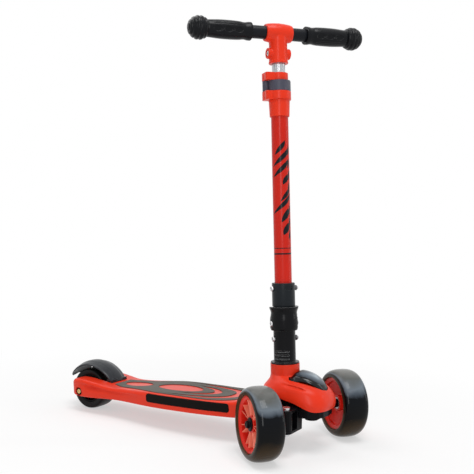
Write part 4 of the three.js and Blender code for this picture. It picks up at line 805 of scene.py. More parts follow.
# %% Tyres
def shoulder(half, start, radius, steps, face_power, tread_power):
    """The side of a tyre from one face round to the other."""
    made = []
    for i in range(steps + 1):
        turn = (i / steps - 0.5) * math.pi
        out = 0 if i in (0, steps) else math.cos(turn) ** tread_power
        height = half * math.copysign(abs(math.sin(turn)) ** face_power, turn)
        made.append((start + (radius - start) * out, height))
    return made


TYRE_HALF = 23.5
tread = shoulder(TYRE_HALF, 46.3, FRONT_AXLE_Z, 36, 0.8, 0.7)
for side, word in SIDES.items():
    outline = [(42, 6.5 - TYRE_HALF), (45.7, 4 - TYRE_HALF), *tread, (45.7, TYRE_HALF - 4),
               (42, TYRE_HALF - 6.5)]
    tyre = turned(f"tyre_{word}_urethane", outline, wheels[side], 128, 0)
    place_piece(tyre, f"wheel_{word}", "wheel_tyre", tyre_urethane_painted_light, f"tyre_{word}")

# %% Rims with their pairs of ribs
RIB_PAIRS, RIB_LEAN = 7, 9


def blade(lean):
    """One rib from the hub to the rim. It leans away from the middle of its pair by some degrees."""
    near = Vector((*polar(13.2, math.radians(lean * 0.45)), 0))
    far = Vector((*polar(39.6, math.radians(lean)), 0))
    across = Vector((near.y - far.y, far.x - near.x, 0)).normalized()
    sections = []
    for middle, half, low, high in ((near, 1.0, -1.4, 15.0), (near.lerp(far, 0.5), 0.9, -6.4, 15.6),
                                    (far, 1.1, -11.6, 16.8)):
        corners = [(half, low), (half, high - 0.6), (half - 0.5, high), (0.5 - half, high), (-half, high - 0.6),
                   (-half, low)]
        sections.append([tuple(middle + across * w + Vector((0, 0, z))) for w, z in corners])
    return lofted("rib", sections, HERE)


for side, word in SIDES.items():
    drum = turned(f"rim_{word}_drum", [
        (10, -12.4), (13.8, -12.4), (13.8, -1.5), (38.4, -12.4), (38.4, -17.3), (42.4, -19.8), (45.4, -19.8),
        (41.4, -17.3), (41.4, 17.3), (45.4, 19.8), (42.4, 19.8), (38.4, 17.3), (38.4, -9.4), (13.8, 1.5),
        (13.8, 15.4), (10, 15.4)], wheels[side], 96, 0.7)
    blades = [blade(lean) for lean in (-RIB_LEAN, RIB_LEAN)]
    ribs = grow(gather(f"rim_{word}_ribs", blades), ring_tree, wheels[side], Count=RIB_PAIRS, Start_turn=0.2,
                Material=rib_plastic_painted_highlight)
    place_piece(drum, f"wheel_{word}", "red_plastic", rim_plastic_edge_highlight, f"rim_{word}")
    place_piece(ribs, f"wheel_{word}", "red_plastic", None, angle=40)

# %% Hub caps and axle heads
for side, word in SIDES.items():
    hub = turned(f"hub_cap_{word}_shell", [
        (0, 22.8), (2.4, 22.8), (2.8, 23.5), (4.6, 23.4), (5.7, 22.4), (6.0, 19.4), (6.6, 18.4), (9.6, 18.0),
        (10.9, 16.9), (10.9, 15.7), (9.7, 15.7), (9.7, 12.7), (8.2, 12.7), (8.2, 15.5), (4.4, 16.0), (4.4, 20.9),
        (0, 21.3)], wheels[side], 64, 0.5)
    place_piece(hub, f"wheel_{word}", "black_plastic", black_plastic, f"hub_cap_{word}")

# %% [markdown]
# ## Rear wheel
# The rear wheel is small and plain: a black urethane tyre on a black hub, half hidden under the deck.

# %% Rear wheel
rear_outline = [(27, -18.5), *shoulder(20.5, 34.2, REAR_AXLE_Z, 24, 0.6, 0.6), (27, 18.5)]
place_piece(turned("rear_tyre_urethane", rear_outline, rear, 112, 0), "rear_wheel", "wheel_tyre", rear_urethane,
            "rear_tyre")
hub = turned("rear_hub_core", [
    (10, -18.5), (15, -18.5), (15, -3), (23.4, -3), (23.4, -18.5), (26.4, -18.5), (26.4, 18.5), (23.4, 18.5),
    (23.4, 3), (15, 3), (15, 18.5), (10, 18.5)], rear, 64, 0.6)
place_piece(hub, "rear_wheel", "black_plastic", black_plastic, "rear_hub")

# %% [markdown]
# ## Front cowl
# The red cowl is the scooter's most shaped part. It is a shell that starts as a round collar under the
# folding joint and swells into a nose that is low in front and open over the axle. It is lofted from rings
# that are eased from one to the next. A shield-shaped window is cut in its front for the smoked visor.

# %% Rings of the cowl
COWL_FRONT, COWL_REAR, COWL_HALF, COWL_WALL = 51, 67.5, 46, 2.6
COLLAR_RADIUS = 25
VISOR_FRONT, VISOR_HALF, VISOR_GAP = -41.8, 28.2, 2.6
COWL_LOW = FRONT_AXLE_Z + 13
COLLAR_LOW = COWL_TOP - 18
COWL_ROWS = [
    [0.06, 0.919, 0.673, 0.947, 0.865, 2], [0.47, 0.956, 0.815, 0.833, 0.76, 2.2],
    [0.8, 0.985, 0.91, 0.637, 0.688, 2.5], [0.965, 1, 0.965, 0.385, 0.637, 2.8],
    [1, 1, 0.995, 0.165, 0.59, 3], [0.965, 0.993, 1, 0, 0.543, 3]]


def cowl_rows():
    """Each ring's middle, half length, half width, front height, rear height and squareness."""
    lean = COLLAR_RADIUS * math.tan(math.radians(RAKE))
    rows = [[axis_y(z), COLLAR_RADIUS, COLLAR_RADIUS, z + lean, z - lean, 2] for z in (COWL_TOP, COLLAR_LOW)]
    rise = COLLAR_LOW - COWL_LOW
    for front_share, rear_share, width, front_up, rear_up, square in COWL_ROWS:
        front, back_end = front_share * COWL_FRONT, rear_share * COWL_REAR
        rows.append([(back_end - front) / 2, (back_end + front) / 2, width * COWL_HALF,
                     COWL_LOW + front_up * rise, COWL_LOW + rear_up * rise, square])
    return rows


def eased(value, low, high):
    t = min(1.0, max(0.0, (value - low) / (high - low)))
    return t * t * (3 - 2 * t)


def squared(turn, power):
    """The sine and cosine of a turn, drawn out towards a square's corners by a power of more than 2."""
    return [math.copysign(abs(v) ** (2 / power), v) for v in (math.sin(turn), math.cos(turn))]


def side_crease(angle, share):
    """A shallow scoop on each flank below the visor, pointed in front and fading out behind."""
    back_way = (abs(math.degrees(angle)) - 55) / 38
    if not 0 < back_way < 1.2:
        return 0
    upper, lower = 2.95 - 1.2 * back_way ** 0.5, 2.95 - 0.3 * back_way ** 1.5
    within = (share - upper) / max(0.05, lower - upper)
    fade = eased(back_way, 0, 0.15) * (1 - eased(back_way, 0.6, 1.15))
    return -3.0 * fade * eased(within, -0.15, 0.5) * (1 - eased(within, 0.5, 1.2))


def cowl_rings(grow_by, count=144, crease=True):
    rows = cowl_rows()
    table = [[float(k - 1), *row] for k, row in enumerate(rows) if k > 0]
    top = rows[0]
    flat = [[-1 + k / 4, *[a + (b - a) * k / 4 for a, b in zip(top, rows[1])]] for k in range(4)]
    rings = []
    for share, *row in flat + [[k / 10, *curve_through(table, k / 10)] for k in range(61)]:
        y, length, half_width, front, rear_height, square = row
        ring = []
        for i in range(count):
            angle = 2 * math.pi * i / count
            signed = (angle + math.pi) % (2 * math.pi) - math.pi
            across, along = squared(angle, square)
            out = grow_by + (side_crease(signed, share) if crease else 0)
            step_up = eased(abs(math.degrees(signed)), 45, 132)
            flat_share = (1 - math.cos(angle)) / 2
            z = front + (rear_height - front) * (flat_share + (step_up - flat_share) * (square - 2))
            lift = min(1.0, max(0.0, share)) * grow_by if share < 3 else 0
            ring.append(((half_width + out) * across, y - (length + out) * along, z + lift))
        rings.append(ring)
    return rings


def visor_outline(grow_by, steps=8):
    """A shield in front of the collar, seen from above."""
    clear = COLLAR_RADIUS + VISOR_GAP - grow_by
    reach = math.radians(52) + grow_by / clear
    centre = axis_y(COLLAR_LOW)
    turns = [(k / steps - 1) * reach for k in range(2 * steps + 1)]
    arc = [(clear * math.sin(turn), centre - clear * math.cos(turn)) for turn in turns]
    table = [[0, 1, 0.93], [0.2, 0.97, 0.72], [0.4, 0.86, 0.46], [0.6, 0.66, 0.22], [0.8, 0.4, 0.06], [1, 0, 0]]
    front = VISOR_FRONT - grow_by
    down_side = []
    for k in range(4 * steps + 1):
        across, along = curve_through(table, k / (4 * steps))
        down_side.append((across * (VISOR_HALF + grow_by), front + (arc[0][1] - front) * along))
    up_side = [(-x, y) for x, y in reversed(down_side[:-1])]
    return [*arc, *down_side, *up_side]


outer = cowl_rings(0)
inner = cowl_rings(-COWL_WALL)
cowl = lofted("front_cowl_shell", [*outer, *inner[::-1]], ground, closed=True)
window = prism("window", visor_outline(0), COWL_LOW, COWL_TOP + 60, ground)
fork_room = block("fork room", (-KINGPIN_X, KINGPIN_X), (-11.8, 11.8), (0, FRONT_AXLE_Z + 19.4), ground)
place_piece(carve(cowl, window, fork_room), "frame", "red_plastic", red_plastic, "front_cowl", angle=34)

# %% [markdown]
# ## Visor
# The visor is a dark glossy shield that bulges like a small windscreen. Its surface is a height field: over
# a fine grid inside its outline the height is the larger of the cowl's own surface and a low dome, with a
# soft change between them, so that it swells from its border without an edge.

# %% Visor
skin = lofted("skin", cowl_rings(1.0, crease=False), HERE)
skin_tree = BVHTree.FromPolygons([v.co for v in skin.data.vertices],
                                 [list(p.vertices) for p in skin.data.polygons])
discard(skin)


def visor_height(x, y):
    hit = skin_tree.ray_cast(Vector((x, y, COWL_TOP + 40)), Vector((0, 0, -1)))[0]
    surface = hit.z if hit else COWL_LOW
    reach = (x / 28) ** 2 + ((y + 8) / 31) ** 2
    dome = COLLAR_LOW - 9.5 + 17 * math.sqrt(max(0.0, 1 - reach)) + 0.28 * (y + 8)
    blend_width = 3.0
    h = max(0.0, min(1.0, 0.5 + 0.5 * (dome - surface) / blend_width))
    return surface * (1 - h) + dome * h + blend_width * h * (1 - h)


VISOR_THICK, LAYERS = 3.0, 26
border = visor_outline(-0.9, steps=12)
centre = (0.0, -22.0)
points, faces, nearness = [], [], []
for depth in (0.0, VISOR_THICK):
    for k in range(1, LAYERS + 1):
        share = k / LAYERS
        edge_drop = 0.9 * max(0.0, (share - 0.9) / 0.1) ** 2
        for x, y in border:
            px, py = centre[0] + (x - centre[0]) * share, centre[1] + (y - centre[1]) * share
            points.append((px, py, visor_height(px, py) - depth - (edge_drop if depth == 0 else 0)))
            nearness.append((0.5, share))
    points.append((centre[0], centre[1], visor_height(*centre) - depth))
    nearness.append((0.5, 0.0))
count = len(border)
under = LAYERS * count + 1
for start, flip in ((0, False), (under, True)):
    hub_point = start + LAYERS * count
    for i in range(count):
        j = (i + 1) % count
        faces.append((hub_point, start + j, start + i) if flip else (hub_point, start + i, start + j))
        for k in range(LAYERS - 1):
            a, b = start + k * count, start + (k + 1) * count
            quad = (a + i, b + i, b + j, a + j)
            faces.append(quad[::-1] if flip else quad)
last = (LAYERS - 1) * count
for i in range(count):
    j = (i + 1) % count
    faces.append((last + i, under + last + i, under + last + j, last + j))
visor = outwards(mesh_object("visor_shield", points, faces, ground, nearness))
place_piece(visor, "frame", "smoked_plastic", smoked_plastic, "visor", angle=50)

# %% [markdown]
# ## Deck
# The deck is a moulded red board, wide at the feet, waisted before the rear wheel and hollow below. It is
# lofted from one table of widths and heights. The scoops on its rear flanks are moved into the sections
# themselves, because a cut would leave a hard rim where the real board has a soft one.

# %% Sections of the deck
DECK_FRONT, DECK_LENGTH, DECK_HALF, DECK_DEPTH, DECK_WALL = 66.1, 415.9, 62, 26, 3.4
SPINE_FRONT, SPINE_REAR = FRONT_AXLE_Z + 12.3, REAR_AXLE_Z + 8.2
SHOULDER, HEM = 6, 3  # the radii at the deck's upper and lower edges
DECK_ROWS = [
    [0, 0.55, 1, 0.385], [0.014, 0.63, 0.782, 0.603], [0.034, 0.71, 0.493, 0.815], [0.058, 0.79, 0.265, 0.966],
    [0.094, 0.865, 0.137, 0.971], [0.142, 0.92, 0.085, 0.961], [0.226, 0.976, 0.074, 0.938],
    [0.322, 1, 0.12, 0.91], [0.418, 1, 0.171, 0.875], [0.514, 0.968, 0.194, 0.841], [0.587, 0.911, 0.176, 0.812],
    [0.647, 0.847, 0.147, 0.788], [0.707, 0.806, 0.137, 0.759], [0.767, 0.798, 0.173, 0.742],
    [0.827, 0.823, 0.333, 0.744], [0.88, 0.839, 0.474, 0.749], [0.923, 0.839, 0.567, 0.74],
    [0.959, 0.815, 0.585, 0.707], [0.986, 0.758, 0.517, 0.629], [1, 0.661, 0.392, 0.5]]


def deck_share(y):
    return min(1.0, max(0.0, (y - DECK_FRONT) / DECK_LENGTH))


def spine_at(y):
    """The height that the deck's rise and fall are counted from."""
    return SPINE_FRONT + (SPINE_REAR - SPINE_FRONT) * deck_share(y)


def deck_at(y):
    """The deck's half width, top and bottom at a place along it."""
    width, rise, fall = curve_through(DECK_ROWS, deck_share(y))
    return width * DECK_HALF, spine_at(y) + rise * DECK_DEPTH, spine_at(y) - fall * DECK_DEPTH


def along_deck(count):
    """Evenly spaced places from the deck's front to its rear end."""
    return [DECK_FRONT + DECK_LENGTH * k / count for k in range(count + 1)]


def scoop(y, z, top, bottom):
    """How far the rear flank dips in: at once under a crease, and gently out again below."""
    share = (y - DECK_FRONT) / DECK_LENGTH
    along = eased(share, 0.56, 0.76) * (1 - eased(share, 0.86, 0.945))
    if along <= 0:
        return 0.0
    away = (z - bottom) / (top - bottom) - 0.72
    depth = 2.4 + 3.2 * eased(share, 0.785, 0.86)
    return depth * along * math.exp(-(away / (0.05 if away > 0 else 0.2)) ** 2)


def deck_sections(inset, bottom_inset=None, rows=None, scooped=True):
    """The deck's closed sections, drawn in by a distance."""
    bottom_inset = inset if bottom_inset is None else bottom_inset
    sections = []
    for y in rows or along_deck(150):
        half_width, top, bottom = deck_at(y)
        wide, high, floor_level = half_width - inset, top - inset, bottom + bottom_inset
        low = wide - 2
        half = [(wide - SHOULDER * (1 - math.sin(a)), high - SHOULDER * (1 - math.cos(a)))
                for a in [math.radians(10 * k) for k in range(10)]]
        side_top, side_low = half[-1], (low, floor_level + HEM)
        for k in range(1, 24):
            x, z = [start + (end - start) * k / 24 for start, end in zip(side_top, side_low)]
            half.append((x - (scoop(y, z, top, bottom) if scooped else 0), z))
        half += [(low - HEM * (1 - math.cos(a)), floor_level + HEM * (1 - math.sin(a)))
                 for a in [math.radians(15 * k) for k in range(7)]]
        outline = [(0.0, high), *half, (0.0, floor_level), *[(-x, z) for x, z in reversed(half)]]
        sections.append([(x, y, z) for x, z in outline])
    return sections


# %% Deck with its pockets, slot and ribs
SLOT_FRONT = REAR_Y - 40 - 21.3
HOLLOW_REAR = SLOT_FRONT - 10.2
PIVOT_Y, PIVOT_Z = REAR_Y - 48.8, REAR_AXLE_Z + 14.7
pivot = ground @ shift(0, PIVOT_Y, PIVOT_Z) @ ALONG_X
TO_SIDE = Matrix(((0, 0, 1, 0), (1, 0, 0, 0), (0, 1, 0, 0), (0, 0, 0, 1)))


STRIP_CORNER = 4


def strip_outline(grow_by):
    """The side strip from the side: a long shape with round corners that follows the deck's spine."""
    front = DECK_FRONT + 49
    back_end = front + 173
    front_z, back_z = spine_at(front) - 8.8, spine_at(back_end) - 4.3
    corners = ((front + STRIP_CORNER, front_z - 3.5), (back_end - STRIP_CORNER, back_z - 3.5),
               (back_end - STRIP_CORNER, back_z + 3.5), (front + STRIP_CORNER, front_z + 3.5))
    made = []
    for (y, z), start in zip(corners, (180, 270, 0, 90)):
        for t in range(0, 91, 10):
            dy, dz = polar(STRIP_CORNER + grow_by, math.radians(start + t))
            made.append((y + dy, z + dz))
    return made


def strip_column(side, grow_by):
    low, high = (46, 110) if side > 0 else (-110, -46)
    return prism("strip column", strip_outline(grow_by), low, high, ground @ TO_SIDE)


deck = lofted("deck_board", deck_sections(0), ground)
hollow = lofted("hollow", deck_sections(DECK_WALL, -60, [0.0, *along_deck(60)], False), ground)
limit = block("limit", (-DECK_HALF, DECK_HALF), (-60, HOLLOW_REAR), (-60, COWL_TOP), ground)
hollow = keep_inside(hollow, limit)
deck = carve(deck, hollow, block("slot", (-23.4, 23.4), (SLOT_FRONT, REAR_Y + 60), (-60, COWL_TOP), ground),
             rod_along("well", 8.5, 44.2, 70, rear), rod_along("well", 8.5, -70, -44.2, rear),
             rod_along("axle hole", 4.3, -80, 80, rear), rod_along("pin hole", 2.7, -34.1, 34.1, pivot))
for side in SIDES:
    core = lofted("core", deck_sections(1.7, scooped=False), ground)
    deck = carve(deck, carve(strip_column(side, 0.3), core))
place_piece(deck, "frame", "red_plastic", red_plastic, "deck", angle=34)

CROSS_RIBS = 4
rib_front = DECK_FRONT + 84
rib_step = (HOLLOW_REAR - rib_front) / CROSS_RIBS
slope = (spine_at(HOLLOW_REAR) - spine_at(rib_front)) / (HOLLOW_REAR - rib_front)
cross_rib = block("deck_ribs", (-0.042, 0.042), (0, 0.0024), (0, 0.017), HERE)
first_rib = Matrix.Translation((0, (rib_front + BACK) / 1000, (deck_at(rib_front)[2] + 7) / 1000))
cross_ribs = grow(cross_rib, row_tree, first_rib, Count=CROSS_RIBS, Material=red_plastic,
                  Step=(0, rib_step / 1000, slope * rib_step / 1000))
place_piece(cross_ribs, "frame", "red_plastic", None)

# %% Grip mat with its windows
MAT_FRONT = DECK_FRONT + 34
MAT_LENGTH = SLOT_FRONT - 9 - MAT_FRONT
MAT_SHARES = [0.62, 0.9, 0.98, 1, 1, 1, 1, 1, 0.94, 0.85, 0.8, 0.76, 0.55]


def mat_reach(y):
    return deck_at(y)[0] - 6.5


def mat_outline(steps=96):
    """Each place's share of the mat's reach, smoothed and mirrored."""
    table = [[i / 12, width] for i, width in enumerate(MAT_SHARES)]
    made = []
    for k in range(steps + 1):
        share = k / steps
        y = MAT_FRONT + share * MAT_LENGTH
        made.append((mat_reach(y) * curve_through(table, share)[0], y))
    return [*made, *[(-x, y) for x, y in reversed(made)]]


def on_mat(across, along):
    """A spot of the mat, from shares of its half width and its length."""
    y = MAT_FRONT + along * MAT_LENGTH
    return across * mat_reach(y), y


def mat_windows():
    """Two ovals, and two bows in front of them, one within the other, that thin out to their ends."""
    made = []
    for along, half, across in ((0.525, 0.165, 0.43), (0.86, 0.105, 0.38)):
        width, y = on_mat(across, along)
        turns = [math.radians(a) for a in range(0, 360, 5)]
        made.append([(width * math.sin(turn), y + half * MAT_LENGTH * math.cos(turn)) for turn in turns])
    places = [-1 + k / 24 for k in range(49)]
    for along, length, half_width, front, side, square in ((0.47, 0.25, 0.59, 0.055, 0.13, 2),
                                                           (0.63, 0.575, 0.9, 0.075, 0.17, 3)):
        def spot(t, thin):
            turn = t * math.pi / 2
            across, ahead = squared(turn, square)
            return on_mat(across * (half_width - thin * side), along - ahead * (length - thin * front))

        inside = [spot(t, 1 - t ** 4) for t in places[1:-1]]
        made.append([*[spot(t, 0) for t in places], *inside[::-1]])
    return made


slab_corners = ((90, -0.15), (90, 1.1), (-90, 1.1), (-90, -0.15))
slab_sections = [[(x, y, deck_at(y)[1] + lift) for x, lift in slab_corners] for y in along_deck(120)]
slab = lofted("slab", slab_sections, ground)
mat = keep_inside(prism("deck_grip_mat_sheet", mat_outline(), 0, COWL_TOP, ground), slab)
mat = carve(mat, *[prism("opening", outline, 0, COWL_TOP, ground) for outline in mat_windows()])
place_piece(mat, "frame", "mat_rubber", mat_rubber, "deck_grip_mat")

# %% Side strips
for side, word in SIDES.items():
    strip = lofted(f"side_grip_{word}_strip", deck_sections(-0.9, scooped=False), ground)
    strip = carve(strip, lofted("core", deck_sections(1.4, scooped=False), ground))
    strip = keep_inside(strip, strip_column(side, 0))
    place_piece(strip, "frame", "black_plastic", strip_rubber, f"side_grip_{word}")

# %% [markdown]
# ## Rear fender brake
# The fender is an arched dark shell over the rear wheel that the rider presses down to brake. Its back has a
# raised band between two long creases. The sheet is lofted along the arch, with the creases drawn into its
# cross-section, and its foot turns on a pin in the deck.

# %% Fender
ARCH = [[27, 0.985, 0], [40, 0.985, 0], [54, 0.985, 0], [68, 0.985, 0], [82, 0.99, 0], [98, 1.005, 0],
        [112, 1.025, 0], [126, 1.065, 0.29], [138, 1.115, 0.53], [148, 1.165, 0.73], [156, 1.195, 0.9],
        [161, 1.19, 1]]
ARCH_START, ARCH_END, ARCH_STEPS = 27, 161, 72
FENDER_REACH, FENDER_WALL, FENDER_HALF, FOOT_HALF = 55, 2.6, 25, 22.6


def fender_line(turn, share, half_width, depth, steps=32):
    """A line across the fender at a turn about the axle, on its back or at a depth under it."""
    made = []
    for i in range(steps + 1):
        s = 2 * i / steps - 1
        band = 0.9 * (1 - 1 / (1 + math.exp(-(abs(s) - 0.46) / 0.03)))
        reach = share * FENDER_REACH - 4.4 * s * s - depth - (0.9 - band if depth == 0 else 0.9)
        if depth == 0:
            reach -= 0.8 * max(0.0, (abs(s) - 0.93) / 0.07) ** 2
        back_way, rise = polar(reach, math.radians(turn))
        made.append((s * half_width, REAR_Y + back_way, REAR_AXLE_Z + rise))
    return made


sections = []
for k in range(ARCH_STEPS + 1):
    turn = ARCH_START + (ARCH_END - ARCH_START) * k / ARCH_STEPS
    share, narrow = curve_through(ARCH, turn)
    end_round = min(1.0, (k + 0.6) / 7.0)
    half_width = FENDER_HALF + (FOOT_HALF - FENDER_HALF) * narrow
    half_width *= 0.72 + 0.28 * math.sqrt(1 - (1 - end_round) ** 2)
    sections.append([*fender_line(turn, share, half_width, 0),
                     *fender_line(turn, share, half_width, FENDER_WALL)[::-1]])
shell = lofted("arch", sections, ground)
foot = rod_along("barrel", 5.2, -FOOT_HALF, FOOT_HALF, pivot)
web = block("web", (-FOOT_HALF, FOOT_HALF), (SLOT_FRONT + 0.6, PIVOT_Y), (PIVOT_Z, REAR_AXLE_Z + 24.7), ground)
shoe = block("shoe", (-13, 13), (REAR_Y - 11, REAR_Y + 11), (REAR_AXLE_Z + 45, REAR_AXLE_Z + 51.2), ground)
heel = block("heel", (-13, 13), (REAR_Y + 10, REAR_Y + 21), (REAR_AXLE_Z + 45, REAR_AXLE_Z + 47.4), ground)
coil_room = block("coil room", (-6.3, 6.3), (PIVOT_Y - 5.5, PIVOT_Y + 60), (PIVOT_Z - 5.5, PIVOT_Z + 5.5),
                  ground)
foot = carve(unite(foot, web), coil_room, rod_along("pin hole", 2.7, -62, 62, pivot))
fender = gather("rear_fender_shell", [shell, foot, shoe, heel])
place_piece(fender, "rear_brake", "grey_plastic", fender_plastic, "rear_fender_brake", angle=40)

# %% [markdown]
# ## Folding joint
# The black joint at the foot of the stem has a ribbed sleeve, a waisted housing with a hinge inside, and a
# socket that takes the tube. Sleeve and housing are turned as one body, and the hinge room, the lever's seat
# and the lock slots are then cut from it, as they are in the real moulding.

# %% Heights along the steering axis
HOUSING_LOW = 56.5
HINGE = 68.0
BASE_TOP = 97.0
SOCKET_LOW, SOCKET_TOP = 97.3, 137.2
OUTER_LOW, OUTER_TOP = 101.0, 462.0
COLLAR_START, FLANGE_LOW, BAND_LOW, BAND_TOP, COLLAR_TOP = 420.8, 449.0, 463.8, 482.0, 495.0
TEE_LOW, BAR_HEIGHT = 511.5, 563.7
INNER_LOW, INNER_TOP = 300.0, 541.0
hinge_place, bar_place = cross_place(HINGE), cross_place(BAR_HEIGHT)
base_place, socket_place, tee_place = [cross_place(bolt) for bolt in (42.2, 127.9, 528.6)]
print("middle of the bar in mm:", [round(v * 1000, 1) for v in bar_place.translation])

# %% Fold base
housing = [(0, 22.6), (0.06, 23.6), (0.12, 24.2), (0.43, 24.2), (0.5, 24.0), (0.59, 23.2), (0.68, 22.5),
           (0.74, 22.4), (0.81, 22.9), (0.91, 24.6), (1, 25.3)]
outline = [(0, -7.3), (16, -7.3), (16, 0.3), (24.4, 0.3), (24.4, 3.1), (18.8, 3.1), (18.8, HOUSING_LOW),
           *[(radius, HOUSING_LOW + up * (BASE_TOP - HOUSING_LOW)) for up, radius in housing], (0, BASE_TOP)]
base = turned("fold_base_body", outline, column, 112, 0.8)
behind = block("behind", (-60, 60), (0, 60), (HINGE, BASE_TOP + 60), column)
swing = rod_along("swing", BASE_TOP - HINGE, -62, 62, hinge_place, 96)
slots = []
for i in range(3):
    low = 8.1 + i * 6.2
    groove = turned("groove", [(17.4, low), (24.6, low), (24.6, low + 2.2), (17.4, low + 2.2)], column, 112, 0)
    slots.append(keep_inside(groove, block("quarter", (-60, 0), (-60, 0), (0, HOUSING_LOW), column)))
base = carve(
    base, rod_along("well", 12.3, -60, 54, column, 64), rod_along("room", 12.6, -11.1, 11.1, hinge_place, 64),
    block("room above", (-11.1, 11.1), (-12.6, 60), (HINGE, BASE_TOP + 60), column),
    block("room behind", (-11.1, 11.1), (0, 60), (HINGE - 12.6, HINGE + 0.3), column), carve(behind, swing),
    rod_along("hinge hole", 2.8, -60, 60, hinge_place), rod_along("bolt hole", 2.8, -60, 60, base_place),
    block("cheek", (18.6, 60), (-60, 60), (HOUSING_LOW, HINGE + 14.2), column),
    rod_along("spring room", 5.6, 14, 60, hinge_place), rod_along("head seat", 5.1, -60, -21.6, hinge_place),
    *slots)
place_piece(base, "steering_column", "black_plastic", housing_plastic_edge_highlight, "fold_base", angle=34)

# %% Fold socket
socket = turned("fold_socket_body", [
    (15.1, SOCKET_LOW + 3.4), (15.1, SOCKET_TOP - 0.1), (16.4, SOCKET_TOP), (19.0, SOCKET_TOP),
    (19.7, SOCKET_TOP - 0.8), (19.7, SOCKET_LOW), (0, SOCKET_LOW), (0, SOCKET_LOW + 3.4)], column, 112, 0.5)
neck = unite(rod_along("eye", 12, -10.5, 10.5, hinge_place, 64, 0.5),
             block("neck", (-10.5, 10.5), (-12, 12), (HINGE, SOCKET_LOW + 3.0), column))
window = block("window", (-6, 9), (-60, 0), (SOCKET_TOP - 11.5, SOCKET_TOP - 4.5), column)
window = carve(window, rod_along("window floor", 18.4, 0, 300, column, 96))
socket = carve(unite(socket, neck), rod_along("hinge hole", 2.8, -60, 60, hinge_place),
               rod_along("bolt hole", 2.8, -60, 60, socket_place), window)
place_piece(socket, "stem", "grey_plastic", socket_plastic, "fold_socket", angle=34)

# %% [markdown]
# ## Stem tubes
# The outer tube is painted steel with a plain black pattern of slanted leaves up its front, and two thin bands
# below. The pattern is painted by the material: the tube's own map gives how far round and how far up a
# point is, so the pattern follows the tube wherever it is. The inner tube is drawn aluminium with flutes.

# %% Tube finish with its pattern
TUBE_RADIUS, TUBE_LENGTH = 14.8, OUTER_TOP - OUTER_LOW
TUBE_RED = (0.56, 0.016, 0.007)


def leaf_pattern(tree):
    """Black slanted leaves up the front of the tube, and two thin bands under them, in millimetres."""
    def sum_of(operation, *values):
        return math_node(tree, operation, *values)

    where = own_map(tree)
    around = sum_of("MULTIPLY", sum_of("SUBTRACT", where["X"], 0.735), 2 * math.pi * TUBE_RADIUS)
    up = sum_of("MULTIPLY", where["Y"], TUBE_LENGTH)
    leaves = [(266, 25, 1.5, 4.8, -4), (250, 33, 1.9, 5.6, -1), (231, 31, 1.9, 5.4, -2), (212, 18, 0.9, 4.8, 4),
              (187, 25, 1.5, 4.6, 5), (171, 37, 2.0, 5.2, 0), (151, 24, 1.0, 5.4, 3), (128, 21, 0.8, 5.8, 4)]
    leaves += [(height, 18, 0.3, 2.4, 11) for height in (262, 239, 219, 199, 160, 139, 118)]
    masks = []
    for height, length, lean, wide, offset in leaves:
        y = sum_of("SUBTRACT", up, height)
        straight = sum_of("SUBTRACT", sum_of("SUBTRACT", around, offset), sum_of("MULTIPLY", y, lean * 0.5))
        x = sum_of("ADD", straight, sum_of("MULTIPLY", sum_of("MULTIPLY", y, y), 0.012))
        tip = sum_of("POWER", sum_of("DIVIDE", sum_of("ABSOLUTE", y), length / 2), 2.0)
        reach = math_node(tree, "SUBTRACT", 1.0, tip, True)
        masks.append(sum_of("LESS_THAN", sum_of("ABSOLUTE", x), sum_of("MULTIPLY", reach, wide)))
    for height, thick in ((95.5, 1.4), (86.0, 2.6)):
        near = sum_of("LESS_THAN", sum_of("ABSOLUTE", sum_of("SUBTRACT", up, height)), thick / 2)
        masks.append(sum_of("MULTIPLY", near, sum_of("LESS_THAN", sum_of("ABSOLUTE", around), 24.0)))
    total = masks[0]
    for mask in masks[1:]:
        total = sum_of("MAXIMUM", total, mask)
    return mix_node(tree, total, (*TUBE_RED, 1), (0.003, 0.0035, 0.006, 1))


tube_paint = finish("painted red tube", TUBE_RED, 0.26, 1500, 0.06, 0.06, worn_and_highlight=(0.7, 0.12, 0.08), wear_and_highlight=0.2,
                    dusty=0.0, gloss=0.18, edge=0.4, paint=leaf_pattern)

# %% Outer and inner tubes
outer = turned("outer_tube_skin", [
    (TUBE_RADIUS, OUTER_LOW), (TUBE_RADIUS, OUTER_TOP), (12.8, OUTER_TOP), (12.8, OUTER_LOW)], column, 96, 0)
layer = outer.data.uv_layers["along"]
from_column = column.inverted()
for loop in outer.data.loops:
    point = from_column @ outer.data.vertices[loop.vertex_index].co
    layer.data[loop.index].uv.y = (point.z - OUTER_LOW) / TUBE_LENGTH
place_piece(outer, "stem", "red_tube", tube_paint, "outer_tube")


def flutes(turn, radius, height):
    """Sixteen shallow grooves on the outside, above the guide bush."""
    return -0.45 * max(0.0, math.cos(turn * 16)) ** 2 if radius > 11 and height > INNER_LOW + 14 else 0


inner = turned("inner_tube_body", [(11.3, INNER_LOW), (11.3, INNER_TOP), (9.8, INNER_TOP), (9.8, INNER_LOW)],
               column, 192, 0.2, bulge=flutes)
place_piece(inner, "bars", "inner_aluminium", aluminium, "inner_tube", angle=50)
bush = turned("guide_bush_sleeve", [(11.6, INNER_LOW), (12.5, INNER_LOW), (12.5, INNER_LOW + 14),
                                    (11.6, INNER_LOW + 14)], column, 72, 0.2)
place_piece(bush, "bars", "black_plastic", black_plastic, "guide_bush")

# %% [markdown]
# ## Height clamp
# A red collar sits on top of the outer tube. Its two flanges hold a blue grey quick-release band on a pin.
# The collar's neck and flanges are turned and blocked out, laid over each other, then split at the back of
# the clamp so that the band can squeeze it.

# %% Clamp collar
PIN = (-22, 5)


